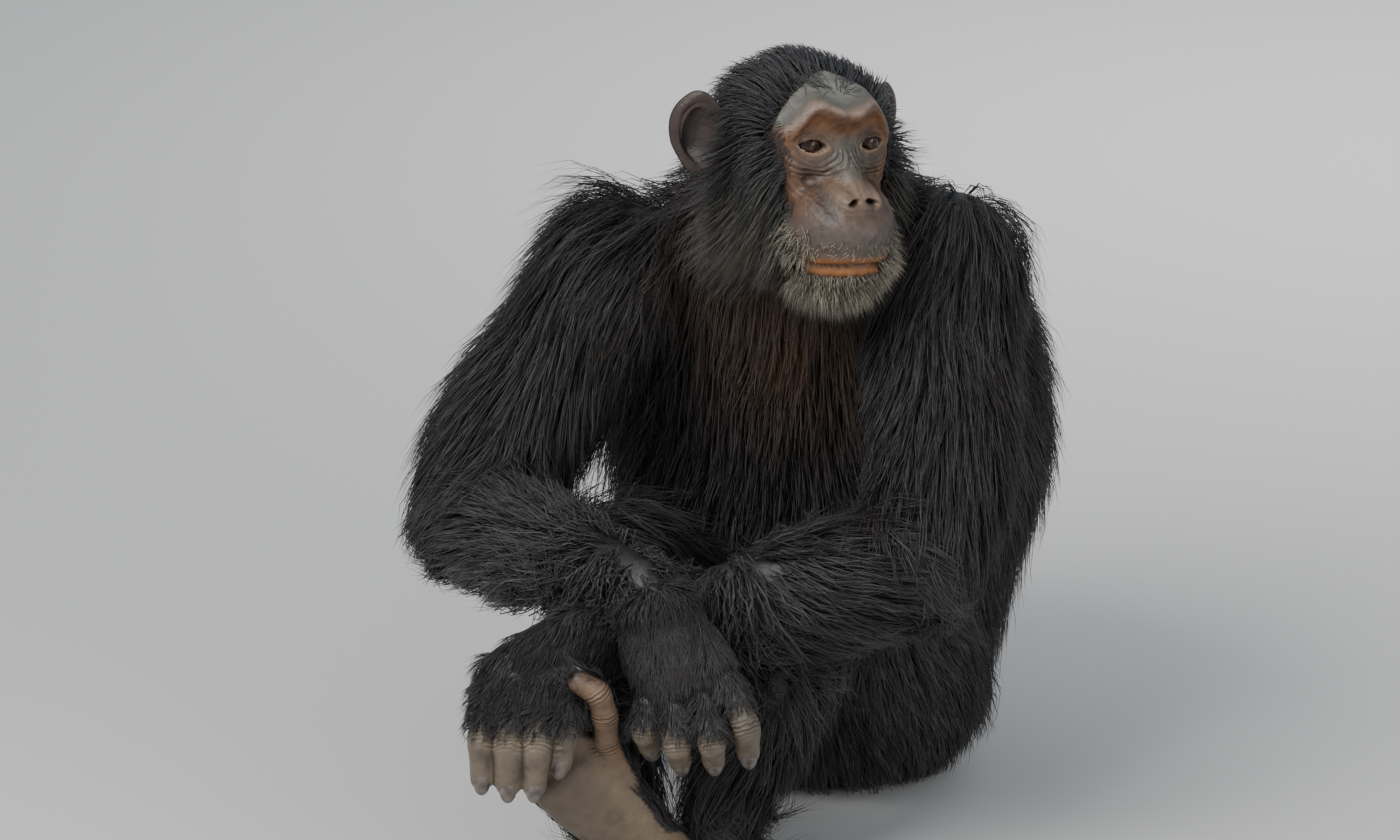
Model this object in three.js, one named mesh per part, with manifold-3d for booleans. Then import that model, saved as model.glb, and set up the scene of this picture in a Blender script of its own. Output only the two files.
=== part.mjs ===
// A life-size adult male chimpanzee, seated on the ground with the knees drawn up, the forearms
// crossed in front of them, the right hand hanging and the left hand holding the toes of the
// right foot. Millimetres, +Z up. The origin is on the ground, under the middle of the rump.
// "Right" and "left" are the animal's own. -Y is the side that the chest faces, roughly.
import * as THREE from 'three';
import { mergeVertices } from 'three/addons/utils/BufferGeometryUtils.js';
import Module from 'manifold-3d';

const wasm = await Module();
wasm.setup();

const V = (x, y, z) => new THREE.Vector3(x, y, z);

// Driving dimensions
const GAP = 0.35;                 // clearance between neighbouring pieces
const LOCK_SHARES = [1, 0.8, 0.64, 0.5];   // lengths that a lock is tried at
const KEPT_SHARE = 0.66;          // a lock that its neighbours would cut back further is shortened
const EYE_RADIUS = 11.5;
const EYE_SPACING = 58;           // between the centres of the two eyes
const EYE_DEPTH = 42;             // from the head's middle forward to the eye's centre
const EAR_HEIGHT = 80;
const EAR_WIDTH = 54;
const FINGER_RADIUS = 13;
const THUMB_RADIUS = 10.5;
const TOE_RADIUS = 10;

// Joints of the skeleton
const HIP_R = V(-72, -5, 88);
const HIP_L = V(74, -45, 88);
const KNEE_R = V(-207, -180, 290);
const KNEE_L = V(-5, -225, 290);
const ANKLE_R = V(-198, -338, 52);
const ANKLE_L = V(-103, -328, 72);
const SHOULDER_R = V(-196, -50, 530);
const SHOULDER_L = V(104, -122, 556);
const ELBOW_R = V(-338, -135, 294);
const ELBOW_L = V(68, -305, 316);
const WRIST_R = V(-163, -362, 305);
const WRIST_L = V(-183, -300, 252);
const HEAD = V(-23, -176, 677);
const HEAD_TURN = 26 * Math.PI / 180;
const HEAD_TILT = 4 * Math.PI / 180;

// Meshes and solids

function welded(geometry) {
  const bare = new THREE.BufferGeometry();
  bare.setAttribute('position', geometry.getAttribute('position').clone());
  bare.setIndex(geometry.index ? geometry.index.clone() : null);
  return mergeVertices(bare, 1e-3);
}

function toSolid(geometry) {
  const merged = welded(geometry);
  const mesh = new wasm.Mesh({
    numProp: 3,
    vertProperties: Float32Array.from(merged.getAttribute('position').array),
    triVerts: Uint32Array.from(merged.index.array),
  });
  const solid = new wasm.Manifold(mesh);
  if (solid.volume() > 0) return solid;
  const turned = Array.from(merged.index.array);
  for (let i = 0; i < turned.length; i += 3) {
    [turned[i], turned[i + 1]] = [turned[i + 1], turned[i]];
  }
  mesh.triVerts = Uint32Array.from(turned);
  return new wasm.Manifold(mesh);
}

function toGeometry(solid) {
  const mesh = solid.getMesh();
  const geometry = new THREE.BufferGeometry();
  const points = new Float32Array(mesh.numVert * 3);
  for (let i = 0; i < mesh.numVert; i += 1) {
    for (let k = 0; k < 3; k += 1) points[i * 3 + k] = mesh.vertProperties[i * mesh.numProp + k];
  }
  geometry.setAttribute('position', new THREE.BufferAttribute(points, 3));
  geometry.setIndex(Array.from(mesh.triVerts));
  geometry.computeVertexNormals();
  return geometry;
}

function largest(solid) {
  return solid.decompose().reduce((a, b) => (b.volume() > a.volume() ? b : a));
}

function joined(solids) {
  return solids.reduce((a, b) => a.add(b));
}

// A sphere's mesh whose rows and columns are moved to place(row, column) points.
function moved(columns, rows, place) {
  const geometry = new THREE.SphereGeometry(1, columns, rows);
  const position = geometry.getAttribute('position');
  for (let j = 0; j <= rows; j += 1) {
    for (let i = 0; i <= columns; i += 1) {
      const p = place(j, 2 * Math.PI * (i % columns) / columns);
      position.setXYZ(j * (columns + 1) + i, p.x, p.y, p.z);
    }
  }
  return geometry;
}

// A limb is a row of stations, each a point with a half-width and a half-depth, joined by smooth
// curves and closed by a rounded cap at each end.
class Limb {
  constructor(stations, across, caps) {
    this.axis = new THREE.CatmullRomCurve3(stations.map((s) => s[0]), false, 'centripetal');
    this.size = new THREE.CatmullRomCurve3(stations.map((s) => V(s[1], s[2], 0)), false, 'catmullrom', 0.5);
    this.count = stations.length;
    this.across = across;
    this.caps = caps;
    this.length = this.axis.getLength();
  }

  frame(t) {
    const u = Math.min(1, Math.max(0, t));
    const along = this.axis.getTangent(u);
    const centre = this.axis.getPoint(u).addScaledVector(along, (t - u) * this.length);
    const wide = this.across.clone().addScaledVector(along, -this.across.dot(along)).normalize();
    const deep = along.clone().cross(wide);
    const size = this.size.getPoint(u);
    return { centre, along, wide, deep, a: size.x, b: size.y };
  }

  // The point at t along the limb, at angle phi round it and height above its surface.
  skin(t, phi, height, scale = 1) {
    const f = this.frame(t);
    return f.centre
      .addScaledVector(f.wide, (f.a * scale + height) * Math.cos(phi))
      .addScaledVector(f.deep, (f.b * scale + height) * Math.sin(phi));
  }

  geometry(sides, steps, grow, capSteps) {
    const rows = steps + 2 * capSteps;
    return moved(sides, rows, (row, phi) => {
      const nearEnd = row < capSteps;
      const farEnd = row > rows - capSteps;
      const t = nearEnd ? 0 : farEnd ? 1 : (row - capSteps) / steps;
      const turn = nearEnd ? row / capSteps : farEnd ? (rows - row) / capSteps : 1;
      const angle = turn * Math.PI / 2;
      const f = this.frame(t);
      const cap = (nearEnd ? -this.caps[0] - grow : farEnd ? this.caps[1] + grow : 0) * Math.cos(angle);
      return f.centre.addScaledVector(f.along, cap)
        .addScaledVector(f.wide, (f.a + grow) * Math.sin(angle) * Math.cos(phi))
        .addScaledVector(f.deep, (f.b + grow) * Math.sin(angle) * Math.sin(phi));
    });
  }
}

const mix = (p, q, t) => p.clone().lerp(q, t);

// Torso: a deep round-backed barrel that leans forward to the shoulders.
const TORSO_ACROSS = V(0.966, -0.259, 0);
const torso = new Limb([
  [V(4, -14, 58), 134, 128],
  [V(10, 14, 150), 164, 146],
  [V(4, 36, 255), 203, 156],
  [V(1, 30, 365), 214, 152],
  [V(-11, -8, 465), 196, 134],
  [V(-32, -62, 545), 142, 108],
  [V(-36, -100, 602), 98, 84],
], TORSO_ACROSS, [78, 24]);

const neck = new Limb([
  [V(-36, -84, 572), 86, 74],
  [V(-30, -138, 650), 60, 58],
], TORSO_ACROSS, [10, 12]);

const upperArm = (shoulder, elbow, outward) => new Limb([
  [shoulder, 72, 66],
  [mix(shoulder, elbow, 0.35).addScaledVector(outward, 2), 71, 60],
  [mix(shoulder, elbow, 0.7).addScaledVector(outward, 12), 68, 56],
  [elbow, 56, 52],
], outward, [62, 50]);

const forearm = (elbow, wrist, across) => new Limb([
  [elbow, 56, 50],
  [mix(elbow, wrist, 0.3), 58, 48],
  [mix(elbow, wrist, 0.65), 49, 38],
  [mix(elbow, wrist, 1), 36, 26],
], across, [50, 16]);

const thigh = (hip, knee) => new Limb([
  [hip, 86, 86],
  [mix(hip, knee, 0.4), 78, 76],
  [mix(hip, knee, 0.8), 58, 58],
  [knee, 47, 49],
], V(1, 0, 0), [50, 44]);

const shin = (knee, ankle) => new Limb([
  [knee, 47, 49],
  [mix(knee, ankle, 0.3), 46, 48],
  [mix(knee, ankle, 0.65), 37, 39],
  [mix(knee, ankle, 0.92), 30, 32],
], V(1, 0, 0), [44, 5]);

const limbs = {
  upper_arm_right: upperArm(SHOULDER_R, ELBOW_R, V(-0.86, 0.1, 0.5)),
  upper_arm_left: upperArm(SHOULDER_L, ELBOW_L, V(0.98, 0.2, 0)),
  forearm_right: forearm(ELBOW_R, WRIST_R, V(0, 0.2, 1)),
  forearm_left: forearm(ELBOW_L, WRIST_L, V(0, 0.2, 1)),
  thigh_right: thigh(HIP_R, KNEE_R),
  thigh_left: thigh(HIP_L, KNEE_L),
  shin_right: shin(KNEE_R, ANKLE_R),
  shin_left: shin(KNEE_L, ANKLE_L),
};

// Head frame: x to the animal's left, y forward, z up, zero at the middle of the skull on the
// level of the eyes.
const HEAD_FRONT = V(Math.sin(HEAD_TURN), -Math.cos(HEAD_TURN), 0);
const HEAD_LEFT = V(Math.cos(HEAD_TURN), Math.sin(HEAD_TURN), 0).applyAxisAngle(HEAD_FRONT, -HEAD_TILT);
const HEAD_UP = V(0, 0, 1).applyAxisAngle(HEAD_FRONT, -HEAD_TILT);
const inHead = (x, y, z) => HEAD.clone()
  .addScaledVector(HEAD_LEFT, x).addScaledVector(HEAD_FRONT, y).addScaledVector(HEAD_UP, z);

// Masses of the head, each a centre and three half-sizes. All of them hold the point STAR, from
// which the head is measured outward.
const MASSES = [
  { c: V(0, -24, 5), r: V(66, 76, 59) },        // braincase
  { c: V(0, 20, -6), r: V(60, 42, 42) },        // middle of the face
  { c: V(0, 10, -38), r: V(68, 47, 44) },       // cheekbones and jaw muscles
  { c: V(0, 40, -30), r: V(17, 40, 33) },       // bridge of the nose
  { c: V(0, 44, -68), r: V(49, 64, 42) },       // muzzle
  { c: V(0, 34, -82), r: V(45, 71, 52) },       // lower jaw
  { c: V(0, -34, -50), r: V(62, 58, 60) },      // nape
];
const STAR = V(0, 14, -40);
const BLEND = 5;                                // how softly the masses run together

function reachOf(mass, d) {
  const o = STAR.clone().sub(mass.c).divide(mass.r);
  const k = d.clone().divide(mass.r);
  const a = k.dot(k);
  const b = o.dot(k);
  return (-b + Math.sqrt(b * b - a * (o.dot(o) - 1))) / a;
}

const bump = (v, middle, width) => Math.exp(-(((v - middle) / width) ** 2));
const step = THREE.MathUtils.smoothstep;
const MOUTH_LEVEL = -95;
const BROW_LEVEL = 37;
const NOSE_LEVEL = -33;

// How far the head reaches from STAR in the direction d, with the mouth but without the features
// that are pushed forward.
function headReach(d) {
  const sum = MASSES.reduce((total, mass) => total + Math.exp(reachOf(mass, d) / BLEND), 0);
  const reach = BLEND * Math.log(sum);
  const p = STAR.clone().addScaledVector(d, reach);
  const x = Math.abs(p.x);
  const front = step(p.y, 50, 90);
  const mouthLine = MOUTH_LEVEL - 8 * (x / 40) ** 2;
  const lips = 3 * bump(p.z, mouthLine + 8, 5) + 3 * bump(p.z, mouthLine - 8, 5) - 5 * bump(p.z, mouthLine, 3.2);
  const chin = 3 * bump(p.z, mouthLine - 20, 7) * bump(x, 0, 30);
  return reach + front * (lips * step(46 - x, 0, 10) - chin);
}

// The point of the head's surface in the direction d, with a height above it.
function headPoint(d, height) {
  const p = STAR.clone().addScaledVector(d, headReach(d) + height);
  const x = Math.abs(p.x);
  const face = step(p.y, -15, 28);
  const browLine = BROW_LEVEL + 7 * bump(x, 25, 14) - 22 * step(x, 28, 58);
  const brow = 24 * bump(p.z, browLine, 10) * (1 - 0.22 * bump(x, 0, 7)) * (1 - step(x, 22, 62));
  const socket = 3.5 * bump(x, EYE_SPACING / 2, 15) * bump(p.z, 4, 12) + 3 * bump(x, 0, 11) * bump(p.z, 8, 10);
  const pad = 9 * bump(x, 0, 13) * bump(p.z, NOSE_LEVEL, 10);
  const wings = 8 * bump(x, 15, 7) * bump(p.z, NOSE_LEVEL - 6, 8);
  const folds = 5 * bump(x, 29, 8) * bump(p.z, NOSE_LEVEL - 2, 13) + 3 * bump(x, 0, 20) * bump(p.z, NOSE_LEVEL - 22, 6);
  p.y += face * (brow - socket + pad + wings - folds);
  return p;
}

// Rows of the head's mesh, as angles above and below the level, closest at the lips and eyes.
// At the back they are spread evenly.
const HEAD_ROWS = [90, 76, 64, 57, 51, 45, 39, 32, 24, 15, 9, 5, 1, -4, -9, -15, -21, -26.5, -30.2, -33.8, -38,
  -45, -54, -63, -76, -90];

// Columns lie closer together at the front. The rows round the mouth dip with its corners.
function headDirection(row, phi) {
  const side = phi - 0.58 * Math.sin(phi);
  const off = Math.abs(phi > Math.PI ? side - 2 * Math.PI : side) * 180 / Math.PI;
  const front = HEAD_ROWS[row] - 9 * step(off, 0, 30) * bump(HEAD_ROWS[row], -29, 12);
  const back = 90 - 180 * row / (HEAD_ROWS.length - 1);
  const angle = (front + (back - front) * step(off, 60, 110)) * Math.PI / 180;
  return V(Math.sin(side) * Math.cos(angle), Math.cos(side) * Math.cos(angle), Math.sin(angle));
}

function headSurface(columns, grow) {
  return moved(columns, HEAD_ROWS.length - 1, (row, phi) => {
    const d = headDirection(row, phi);
    const p = headPoint(d, grow);
    return inHead(p.x, p.y, p.z);
  });
}

function ball(centre, radii, turn, columns = 12, rows = 8) {
  const geometry = new THREE.SphereGeometry(1, columns, rows);
  geometry.scale(radii.x, radii.y, radii.z);
  geometry.applyMatrix4(turn);
  geometry.translate(centre.x, centre.y, centre.z);
  return toSolid(geometry);
}

// Turns x, y and z of a piece to the head's left, front and up, after a turn of its own.
function headTurn(own = new THREE.Matrix4()) {
  return new THREE.Matrix4().makeBasis(HEAD_LEFT, HEAD_FRONT, HEAD_UP).multiply(own);
}

const SIDES = { right: -1, left: 1 };
const eyeCentre = (side, forward = 0) => inHead(side * EYE_SPACING / 2, EYE_DEPTH + forward, 0);

// The opening between the lids, an almond cut straight back to the eye. The inner corner of
// each eye is the lower one.
function lidOpening(side) {
  const half = 10.8;
  const shape = new THREE.Shape();
  shape.moveTo(-half, -1.5);
  shape.quadraticCurveTo(0, 11, half, 0.5);
  shape.quadraticCurveTo(0, -11, -half, -1.5);
  const geometry = new THREE.ExtrudeGeometry(shape, { depth: 30, bevelEnabled: false, curveSegments: 5 });
  const own = new THREE.Matrix4().makeBasis(V(side, 0, 0), V(0, 0, 1), V(0, 1, 0));
  geometry.applyMatrix4(headTurn(own));
  const c = eyeCentre(side, 2);
  geometry.translate(c.x, c.y, c.z);
  return toSolid(geometry);
}

function headCore(grow = 0) {
  let solid = toSolid(headSurface(25, grow));
  if (grow > 0) return solid;
  for (const side of Object.values(SIDES)) {
    const lid = EYE_RADIUS + 2;
    solid = solid.add(ball(eyeCentre(side), V(lid, lid, lid), headTurn()));
  }
  for (const side of Object.values(SIDES)) {
    const socket = EYE_RADIUS + GAP;
    solid = solid.subtract(lidOpening(side));
    solid = solid.subtract(ball(eyeCentre(side), V(socket, socket, socket), headTurn()));
    const nostril = new THREE.Matrix4().makeRotationY(side * 0.5);
    solid = solid.subtract(ball(inHead(side * 9, 100, -41), V(4.8, 12, 3.4), headTurn(nostril), 8, 6));
  }
  return solid;
}

// Ear: a thin cup that stands out from the side of the head and opens forward.
function earSolid(side, grow = 0) {
  const own = headTurn(new THREE.Matrix4().makeRotationZ(side * -0.5));
  const size = V(EAR_WIDTH / 2 + grow, 15 + grow, EAR_HEIGHT / 2 + grow);
  const hollow = V(EAR_WIDTH / 2 - 5, 17, EAR_HEIGHT / 2 - 6);
  return ball(inHead(side * 92, -44, -9), size, own, 10, 8)
    .subtract(ball(inHead(side * 93.5, -34, -9), hollow, own, 10, 6));
}

function eyeSolid(side) {
  return ball(eyeCentre(side), V(EYE_RADIUS, EYE_RADIUS, EYE_RADIUS), headTurn());
}

// A finger or toe: a bent round tube through its knuckles, narrower at the tip.
function digit(points, radius, grow) {
  const sizes = points.map((p, i) => {
    const r = radius * (i === points.length - 1 ? 0.82 : 1);
    return [p, r, r * 0.94];
  });
  return toSolid(new Limb(sizes, V(1, 0.1, 0), [radius * 0.6, radius * 0.7]).geometry(6, 3, grow, 2));
}

const HAND_R = {
  palm: [[WRIST_R, 32, 25], [V(-152, -372, 268), 41, 21], [V(-134, -384, 240), 43, 18]],
  caps: [6, 14],
  across: V(0.95, 0, 0.3),
  fingers: [
    [V(-166, -374, 232), V(-172, -404, 200), V(-168, -386, 176)],
    [V(-146, -382, 230), V(-144, -426, 196), V(-141, -404, 170)],
    [V(-124, -386, 234), V(-114, -432, 201), V(-112, -410, 173)],
    [V(-106, -386, 244), V(-84, -428, 214), V(-82, -410, 180)],
  ],
  knuckles: [[V(-158, -376, 236), 17, 16], [V(-114, -384, 242), 18, 17]],
  thumb: [V(-136, -356, 288), V(-116, -362, 270), V(-99, -376, 248)],
};

const HAND_L = {
  palm: [[WRIST_L, 34, 26], [V(-228, -336, 248), 44, 24], [V(-264, -358, 234), 43, 22],
    [V(-290, -362, 226), 33, 20]],
  caps: [6, 14],
  across: V(0.5, 0.2, 1),
  fingers: [
    [V(-240, -366, 232), V(-240, -428, 210), V(-245, -428, 178)],
    [V(-260, -370, 236), V(-264, -438, 200), V(-267, -437, 160)],
    [V(-284, -368, 236), V(-289, -438, 200), V(-290, -437, 160)],
    [V(-306, -360, 230), V(-313, -428, 204), V(-313, -430, 164)],
  ],
  knuckles: [[V(-304, -354, 230), 20, 19], [V(-246, -364, 236), 21, 20]],
  thumb: [V(-208, -330, 226), V(-226, -352, 204), V(-240, -368, 190)],
};

function handSolid(hand, grow = 0) {
  const palm = toSolid(new Limb(hand.palm, hand.across, hand.caps).geometry(10, 4, grow, 2));
  const middle = hand.palm[1][0];
  const digits = hand.fingers.map((f) => digit([mix(middle, f[0], 0.3), ...f], FINGER_RADIUS, grow));
  const knuckles = toSolid(new Limb(hand.knuckles, V(0, 0, 1), [14, 14]).geometry(6, 2, grow, 2));
  const thumb = digit([middle, ...hand.thumb], THUMB_RADIUS, grow);
  return joined([palm, knuckles, ...digits, thumb]);
}

// Feet: a sole from the heel to the ball, four toes and the big toe that stands apart.
const FOOT_R = {
  sole: [[V(-140, -350, 34), 30, 27], [V(-176, -368, 80), 32, 26], [V(-212, -384, 125), 40, 22],
    [V(-238, -394, 158), 42, 17]],
  caps: [28, 12],
  across: V(0.65, 0.25, 0.72),
  toes: [
    [V(-224, -392, 180), V(-248, -402, 205), V(-262, -405, 212)],
    [V(-238, -393, 170), V(-264, -402, 193), V(-278, -405, 200)],
    [V(-248, -395, 160), V(-277, -402, 178), V(-291, -405, 184)],
    [V(-259, -395, 146), V(-286, -402, 159), V(-299, -405, 164)],
  ],
  big: [V(-187, -380, 140), V(-205, -396, 184), V(-207, -410, 217), V(-212, -416, 239), V(-230, -412, 250)],
};

const FOOT_L = {
  sole: [[V(-112, -318, 24), 28, 27], [V(-100, -360, 26), 29, 26], [V(-76, -418, 20), 36, 21],
    [V(-66, -448, 16), 39, 17]],
  caps: [32, 16],
  across: V(0.93, 0.38, 0),
  toes: [
    [V(-50, -450, 14), V(-36, -486, 13), V(-29, -508, 10)],
    [V(-34, -446, 14), V(-17, -478, 13), V(-10, -498, 10)],
    [V(-70, -456, 14), V(-57, -492, 13), V(-51, -513, 10)],
    [V(-88, -452, 14), V(-78, -488, 13), V(-73, -509, 10)],
  ],
  big: [V(-100, -390, 20), V(-122, -428, 18), V(-128, -458, 15), V(-122, -482, 12)],
};

function footSolid(foot, knee, ankle, grow = 0) {
  const sole = toSolid(new Limb(foot.sole, foot.across, foot.caps).geometry(10, 5, grow, 2));
  const instep = toSolid(new Limb([[mix(ankle, knee, 0.12), 33, 34], [ankle, 33, 34],
    [mix(ankle, foot.sole[1][0], 0.9), 27, 27]], foot.across, [6, 14]).geometry(8, 2, grow, 2));
  const ballAt = foot.sole[2][0];
  const toes = foot.toes.map((t) => digit([mix(ballAt, t[0], 0.6), ...t], TOE_RADIUS, grow));
  return joined([sole, instep, ...toes, digit(foot.big, TOE_RADIUS * 1.25, grow)]);
}

// A lock of hair is a flat tapered strip with two edges and a ridge. Its rings run from the root,
// sunk below the surface, over a low arch to the tip. where(s, aside, height) gives the point at
// the share s of its length, aside from its middle line and above the surface.
const LOCK_RINGS = [
  { s: 0, wide: 0, thick: 0, height: -12 },
  { s: 0.12, wide: 0.84, thick: 1, height: -7 },
  { s: 0.5, wide: 1, thick: 1, height: 0.25 },
  { s: 0.8, wide: 0.62, thick: 0.6, height: 0.62 },
  { s: 1, wide: 0, thick: 0, height: 0.85 },
];

function lock(where, width, thickness, rise) {
  return moved(3, LOCK_RINGS.length - 1, (row, phi) => {
    const ring = LOCK_RINGS[row];
    const height = ring.height < 0 ? ring.height : ring.height * rise;
    const turn = phi + Math.PI / 2;
    const aside = Math.cos(turn) * 1.15 * ring.wide * width / 2;
    return where(ring.s, aside, height + Math.sin(turn) * ring.thick * thickness * 0.67);
  });
}

// The same mesh with every face moved outward by at least grow.
function swollen(geometry, grow) {
  const mesh = welded(geometry);
  const position = mesh.getAttribute('position');
  const corner = (i) => new THREE.Vector3().fromBufferAttribute(position, mesh.index.getX(i));
  const normals = Array.from({ length: position.count }, () => []);
  let volume = 0;
  for (let i = 0; i < mesh.index.count; i += 3) {
    const [a, b, c] = [corner(i), corner(i + 1), corner(i + 2)];
    const normal = b.clone().sub(a).cross(c.clone().sub(a));
    volume += a.dot(b.clone().cross(c));
    if (normal.length() < 1e-6) continue;
    normal.normalize();
    for (let k = 0; k < 3; k += 1) normals[mesh.index.getX(i + k)].push(normal);
  }
  const outward = Math.sign(volume);
  normals.forEach((around, i) => {
    const out = around.reduce((sum, normal) => sum.add(normal), V(0, 0, 0)).normalize();
    const least = Math.max(0.08, Math.min(...around.map((normal) => normal.dot(out))));
    const p = new THREE.Vector3().fromBufferAttribute(position, i).addScaledVector(out, outward * grow / least);
    position.setXYZ(i, p.x, p.y, p.z);
  });
  return mesh;
}

// Seeded draws, so that each lock differs a little and always in the same way.
function draws(seed) {
  let state = seed;
  return (low, high) => {
    state = (state * 1664525 + 1013904223) % 4294967296;
    return low + (high - low) * state / 4294967296;
  };
}

// Rows of locks on a limb. from and to are shares of its length, and down is +1 where the hair
// lies from the first station to the last. arc says which angles round the limb carry hair.
function limbLocks(limb, plan, seed) {
  const draw = draws(seed);
  const list = [];
  for (let row = 0; row < plan.rows; row += 1) {
    const share = plan.rows > 1 ? row / (plan.rows - 1) : 0.5;
    const t0 = plan.from + (plan.to - plan.from) * share;
    const around = plan.around;
    for (let i = 0; i < around; i += 1) {
      const offset = (row % 2) * 0.5 + draw(-0.12, 0.12);
      const phi0 = plan.arc[0] + (plan.arc[1] - plan.arc[0]) * (i + offset) / around;
      const start = t0 + draw(-0.02, 0.02);
      const length = plan.length * draw(0.88, 1.14);
      const rise = plan.rise * draw(0.8, 1.25);
      const swing = draw(-0.12, 0.12) + (plan.swing ?? 0);
      const width = plan.width * draw(0.9, 1.12);
      const where = (share) => (s, aside, height) => {
        const t = start + plan.down * s * share * length / limb.length;
        const f = limb.frame(t);
        const radius = (f.a + f.b) / 2;
        return limb.skin(t, phi0 + swing * s + aside / radius, height);
      };
      list.push((share) => lock(where(share), width, plan.thick, rise));
    }
  }
  return list;
}

// A block that fills all beyond a plane through a point, on the side that its normal points to.
function beyond(point, normal, shift) {
  const size = 1500;
  const box = new THREE.BoxGeometry(size, size, size);
  box.translate(0, 0, size / 2 + shift);
  const turn = new THREE.Quaternion().setFromUnitVectors(V(0, 0, 1), normal.clone().normalize());
  box.applyQuaternion(turn);
  box.translate(point.x, point.y, point.z);
  return toSolid(box);
}

// Where two neighbours are parted by a plane: the upper piece, the lower piece, the joint, and
// the direction from the upper to the lower piece.
const fold = (a, joint, b) => joint.clone().sub(a).normalize().add(b.clone().sub(joint).normalize());
const PARTINGS = [
  ['upper_arm_right', 'forearm_right', ELBOW_R, fold(SHOULDER_R, ELBOW_R, WRIST_R)],
  ['upper_arm_left', 'forearm_left', ELBOW_L, fold(SHOULDER_L, ELBOW_L, WRIST_L)],
  ['forearm_right', 'hand_right', WRIST_R, fold(ELBOW_R, WRIST_R, HAND_R.palm[1][0])],
  ['forearm_left', 'hand_left', WRIST_L, fold(ELBOW_L, WRIST_L, HAND_L.palm[1][0])],
  ['thigh_right', 'shin_right', KNEE_R, fold(HIP_R, KNEE_R, ANKLE_R)],
  ['thigh_left', 'shin_left', KNEE_L, fold(HIP_L, KNEE_L, ANKLE_L)],
];

const shapes = {
  torso: (grow) => toSolid(torso.geometry(16, 10, grow, 3)),
  head: headCore,
  ear_right: (grow) => earSolid(SIDES.right, grow),
  ear_left: (grow) => earSolid(SIDES.left, grow),
  neck: (grow) => toSolid(neck.geometry(12, 2, grow, 2)),
  foot_right: (grow) => footSolid(FOOT_R, KNEE_R, ANKLE_R, grow),
  foot_left: (grow) => footSolid(FOOT_L, KNEE_L, ANKLE_L, grow),
  hand_right: (grow) => handSolid(HAND_R, grow),
  hand_left: (grow) => handSolid(HAND_L, grow),
};
for (const [name, limb] of Object.entries(limbs)) {
  shapes[name] = (grow) => toSolid(limb.geometry(10, 4, grow, 3));
}

function core(name, grow = 0) {
  let solid = shapes[name](grow);
  for (const [upper, lower, joint, direction] of PARTINGS) {
    if (name === upper) solid = solid.subtract(beyond(joint, direction, grow - GAP / 2));
    if (name === lower) solid = solid.subtract(beyond(joint, direction.clone().negate(), grow - GAP / 2));
  }
  return solid;
}

// Locks that grow from the head. at is a point near the root, lie the way the hair lies, and
// free how far the lock leaves the head's surface to hang straight.
function headLock(at, lie, size, draw) {
  const d0 = at.clone().sub(STAR).normalize();
  const turned = lie.clone().add(V(draw(-0.12, 0.12), draw(-0.12, 0.12), 0));
  const straight = turned.clone().normalize();
  const along = turned.addScaledVector(d0, -turned.dot(d0)).normalize();
  const across = d0.clone().cross(along);
  const root = headReach(d0);
  const length = size.length * draw(0.88, 1.12);
  const rise = size.rise * draw(0.8, 1.2);
  const where = (share) => (s, aside, height) => {
    const angle = s * share * length / root;
    const d = d0.clone().multiplyScalar(Math.cos(angle)).addScaledVector(along, Math.sin(angle));
    const lain = headPoint(d, height).addScaledVector(across, aside);
    const hung = headPoint(d0, height)
      .addScaledVector(straight, s * share * length).addScaledVector(across, aside);
    const p = lain.lerp(hung, size.free * s);
    return inHead(p.x, p.y, p.z);
  };
  return (share) => lock(where(share), size.width, size.thick, rise);
}

function headLocks() {
  const draw = draws(71);
  const list = [];
  const crown = { length: 84, width: 60, thick: 7, rise: 10, free: 0 };
  for (const [y, z, count] of [[2, 58, 3], [-38, 54, 3], [-76, 28, 3]]) {
    for (let i = 0; i < count; i += 1) {
      const x = (i - (count - 1) / 2) * 46 + draw(-3, 3);
      list.push(headLock(V(x, y, z - Math.abs(x) * 0.25), V(x * 0.004, -1, -0.15), crown, draw));
    }
  }
  const nape = { length: 96, width: 54, thick: 8, rise: 24, free: 0.3 };
  for (let i = 0; i < 4; i += 1) {
    list.push(headLock(V((i - 1.5) * 40, -84, -6), V(0, -0.4, -1), nape, draw));
  }
  const beard = { length: 52, width: 28, thick: 8, rise: 9, free: 0.7 };
  for (const side of Object.values(SIDES)) {
    const ruff = { length: side > 0 ? 80 : 84, width: 42, thick: 8, rise: side > 0 ? 18 : 12, free: 0.75 };
    for (const [x, y, z] of [[62, 12, 28], [70, 14, 4], [70, 18, -22], [66, 22, -48], [58, 32, -76]]) {
      list.push(headLock(V(side * x, y, z), V(side > 0 ? 0.75 : -0.55, -0.35, -0.75), ruff, draw));
    }
    for (const [x, y, z] of [[46, 58, -100], [32, 80, -114]]) {
      list.push(headLock(V(side * x, y, z), V(side * 0.3, -0.1, -1), beard, draw));
    }
  }
  for (const x of [-14, 2, 17]) list.push(headLock(V(x, 92, -118), V(0, 0.05, -1), beard, draw));
  return list;
}

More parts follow.
